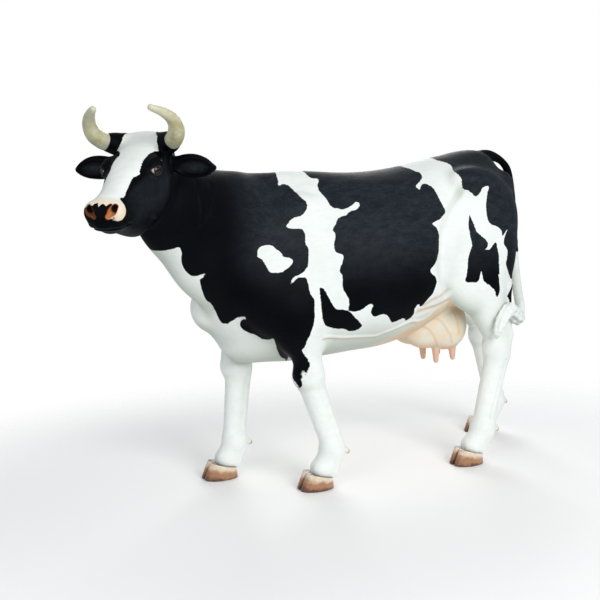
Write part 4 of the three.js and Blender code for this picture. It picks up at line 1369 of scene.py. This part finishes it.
def claw_rings(x, y, side):
    """Rings of one claw from the sole to the coronet, on one side of the foot's middle."""
    angle = np.linspace(0, 2 * math.pi, 72, endpoint=False)
    ahead, out = np.cos(angle), side * np.sin(angle)
    power = np.where(ahead > 0, 1.2, 0.95)
    rings = []
    shares = np.concatenate([[0.0, 0.012, 0.03, 0.06, 0.09], np.linspace(0.13, 1, 22)])
    for share in shares:
        edge = 1 - min(share / 0.1, 1)
        inset = 5.0 * edge**2.2 + 1.2 * max((share - 0.93) / 0.07, 0) ** 2
        ripple = 0.4 * math.sin(share * 30) * min(share * 8, 1)
        grow = ripple - inset
        heel = CLAW["length"] / 2 - CLAW["heel_run"] * share
        toe_end = CLAW["length"] / 2 - CLAW["toe_run"] * share
        px = (np.where(ahead > 0, toe_end, heel) + grow) * np.sign(ahead) * np.abs(ahead) ** power
        wall = (CLAW["outer"] - CLAW["outer_run"] * share + grow - CLAW["tip"]) * np.abs(out) ** 0.9
        cleft = (CLAW["tip"] - CLAW["cleft"] - 0.5) * np.abs(out) ** 0.45
        py = side * (CLAW["tip"] + np.where(out > 0, wall, -cleft))
        top = CLAW["heel_height"] + (px + CLAW["length"] / 2) * CLAW_SLOPE
        rings.append(np.stack([x + px, y + py, top * share], 1))
    return np.array(rings), shares, ahead


for foot, (x, y) in FEET.items():
    for side in SIDES:
        name = f"hoof_{foot}_{'inner' if side * y < 0 else 'outer'}"
        rings, shares, ahead = claw_rings(x, y, side)
        hoof = piece(name + "_claw", *wrap(rings), "hoof_paint", name)
        rise_values = np.repeat(shares, rings.shape[1])
        toe_values = np.tile(np.clip(ahead, 0, 1), len(shares)) * (1 - 0.6 * rise_values)
        add_values(hoof, rise=np.append(rise_values, (0, 1)), toe=np.append(toe_values, (0, 0)))
        hoof.data.materials.append(hoof_finish.material)

# ---- Dewclaws --------------------------------------------------------------------------
# Two small blunt horns behind each fetlock, cast in resin and stained as the hooves are.

DEWCLAW_APART = 23  # to each side of the leg's middle
DEWCLAW = [  # ahead of the fetlock, above it, and radius
    (-46, 2, 16.5),
    (-57, -6, 14.5),
    (-68, -14, 10.5),
]
dewclaw_finish = Finish("dewclaw stain")
tip = dewclaw_finish.attribute("along")
horny, mottle = stained(dewclaw_finish, 60, (0.62, 0.42, 0.25, 1), (0.48, 0.27, 0.13, 1))
horny = dewclaw_finish.mix(dewclaw_finish.ramp(tip, 0.45, 0.85), (0.78, 0.80, 0.75, 1), horny)
dewclaw_finish.painted(horny, dewclaw_finish.ramp(mottle, 0.2, 0.8, 0.3, 0.45))
dewclaw_finish.bump(mottle, 0.2, 0.0006)

for leg, (y, _, _, (fetlock_x, fetlock_z), _) in LEGS.items():
    for side in SIDES:
        out = y + side * DEWCLAW_APART
        rings = sweep([(fetlock_x + ahead, out, fetlock_z + up, r) for ahead, up, r in DEWCLAW], 32, 6)
        name = f"dewclaw_{leg}_{'inner' if side * y < 0 else 'outer'}"
        dewclaw = piece(name + "_horn", *wrap(rings), "hoof_paint", name)
        add_values(dewclaw, along=np.append(np.repeat(np.linspace(0, 1, len(rings)), 32), (0, 1)))
        dewclaw.data.materials.append(dewclaw_finish.material)

# ---- Studio: floor, lights and camera --------------------------------------------------
# A plain white floor in a bright, even studio, with one big soft light above and ahead of the
# statue's left side and a weaker one on the other side.

floor_mesh = bpy.data.meshes.new("floor")
floor_mesh.from_pydata([(-30, -30, 0), (30, -30, 0), (30, 30, 0), (-30, 30, 0)], [], [(0, 1, 2, 3)])
floor = bpy.data.objects.new("floor", floor_mesh)
bpy.context.scene.collection.objects.link(floor)
floor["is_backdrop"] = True
floor_finish = Finish("studio floor")
floor_finish.painted((0.97, 0.97, 0.97, 1), 0.9, Specular_IOR_Level=0.1)
away = floor_finish.node("VectorMath", ("Vector", floor_finish.place((0.75, 1, 1))), operation="LENGTH")
floor_finish.set(floor_finish.shader, "Alpha", floor_finish.ramp(away.outputs["Value"], 0.95, 2.1, 1, 0))
floor_mesh.materials.append(floor_finish.material)

world = bpy.data.worlds.new("studio")
bpy.context.scene.world = world
world.use_nodes = True
nodes, links = world.node_tree.nodes, world.node_tree.links
room = nodes["Background"]
room.inputs["Color"].default_value = (0.95, 0.98, 1.0, 1)
room.inputs["Strength"].default_value = 0.44
paper = nodes.new("ShaderNodeBackground")
paper.inputs["Color"].default_value = (1, 1, 1, 1)
seen = nodes.new("ShaderNodeLightPath")
either = nodes.new("ShaderNodeMixShader")
links.new(seen.outputs["Is Camera Ray"], either.inputs[0])
links.new(room.outputs[0], either.inputs[1])
links.new(paper.outputs[0], either.inputs[2])
links.new(either.outputs[0], nodes["World Output"].inputs["Surface"])


def soft_light(name, at, aim, power, width):
    data = bpy.data.lights.new(name, "AREA")
    data.energy = power
    data.size = width
    light = bpy.data.objects.new(name, data)
    bpy.context.scene.collection.objects.link(light)
    light.location = at
    light.rotation_euler = (Vector(aim) - Vector(at)).to_track_quat("-Z", "Y").to_euler()


soft_light("key", (-0.6, 4.6, 3.0), (0, 0, 0.8), 165, 3.0)
soft_light("front fill", (4.2, 2.6, 2.6), (0.6, 0, 1.2), 40, 2.5)
soft_light("rear fill", (-2.4, -4.4, 3.2), (0, 0, 0.8), 130, 3.0)

CAMERA_STAND = np.array([2250.0, 3867.1, 1480.0])
forward = Vector((-0.4553, -0.8769, -0.1532)).normalized()
camera_data = bpy.data.cameras.new("camera")
camera_data.sensor_width = 36
camera_data.lens = 60
camera = bpy.data.objects.new("camera", camera_data)
bpy.context.scene.collection.objects.link(camera)
stand = Vector((CAMERA_STAND + MOVED) / 1000)
camera.matrix_world = Matrix.Translation(stand) @ forward.to_track_quat("-Z", "Y").to_matrix().to_4x4()
bpy.context.scene.camera = camera
bpy.context.scene.view_settings.view_transform = "Standard"

bpy.context.view_layer.update()
size_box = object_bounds()
boxes = {"cad": cad_box, "visual": size_box}
{name: [list(low), list(high)] for name, (low, high) in boxes.items()}
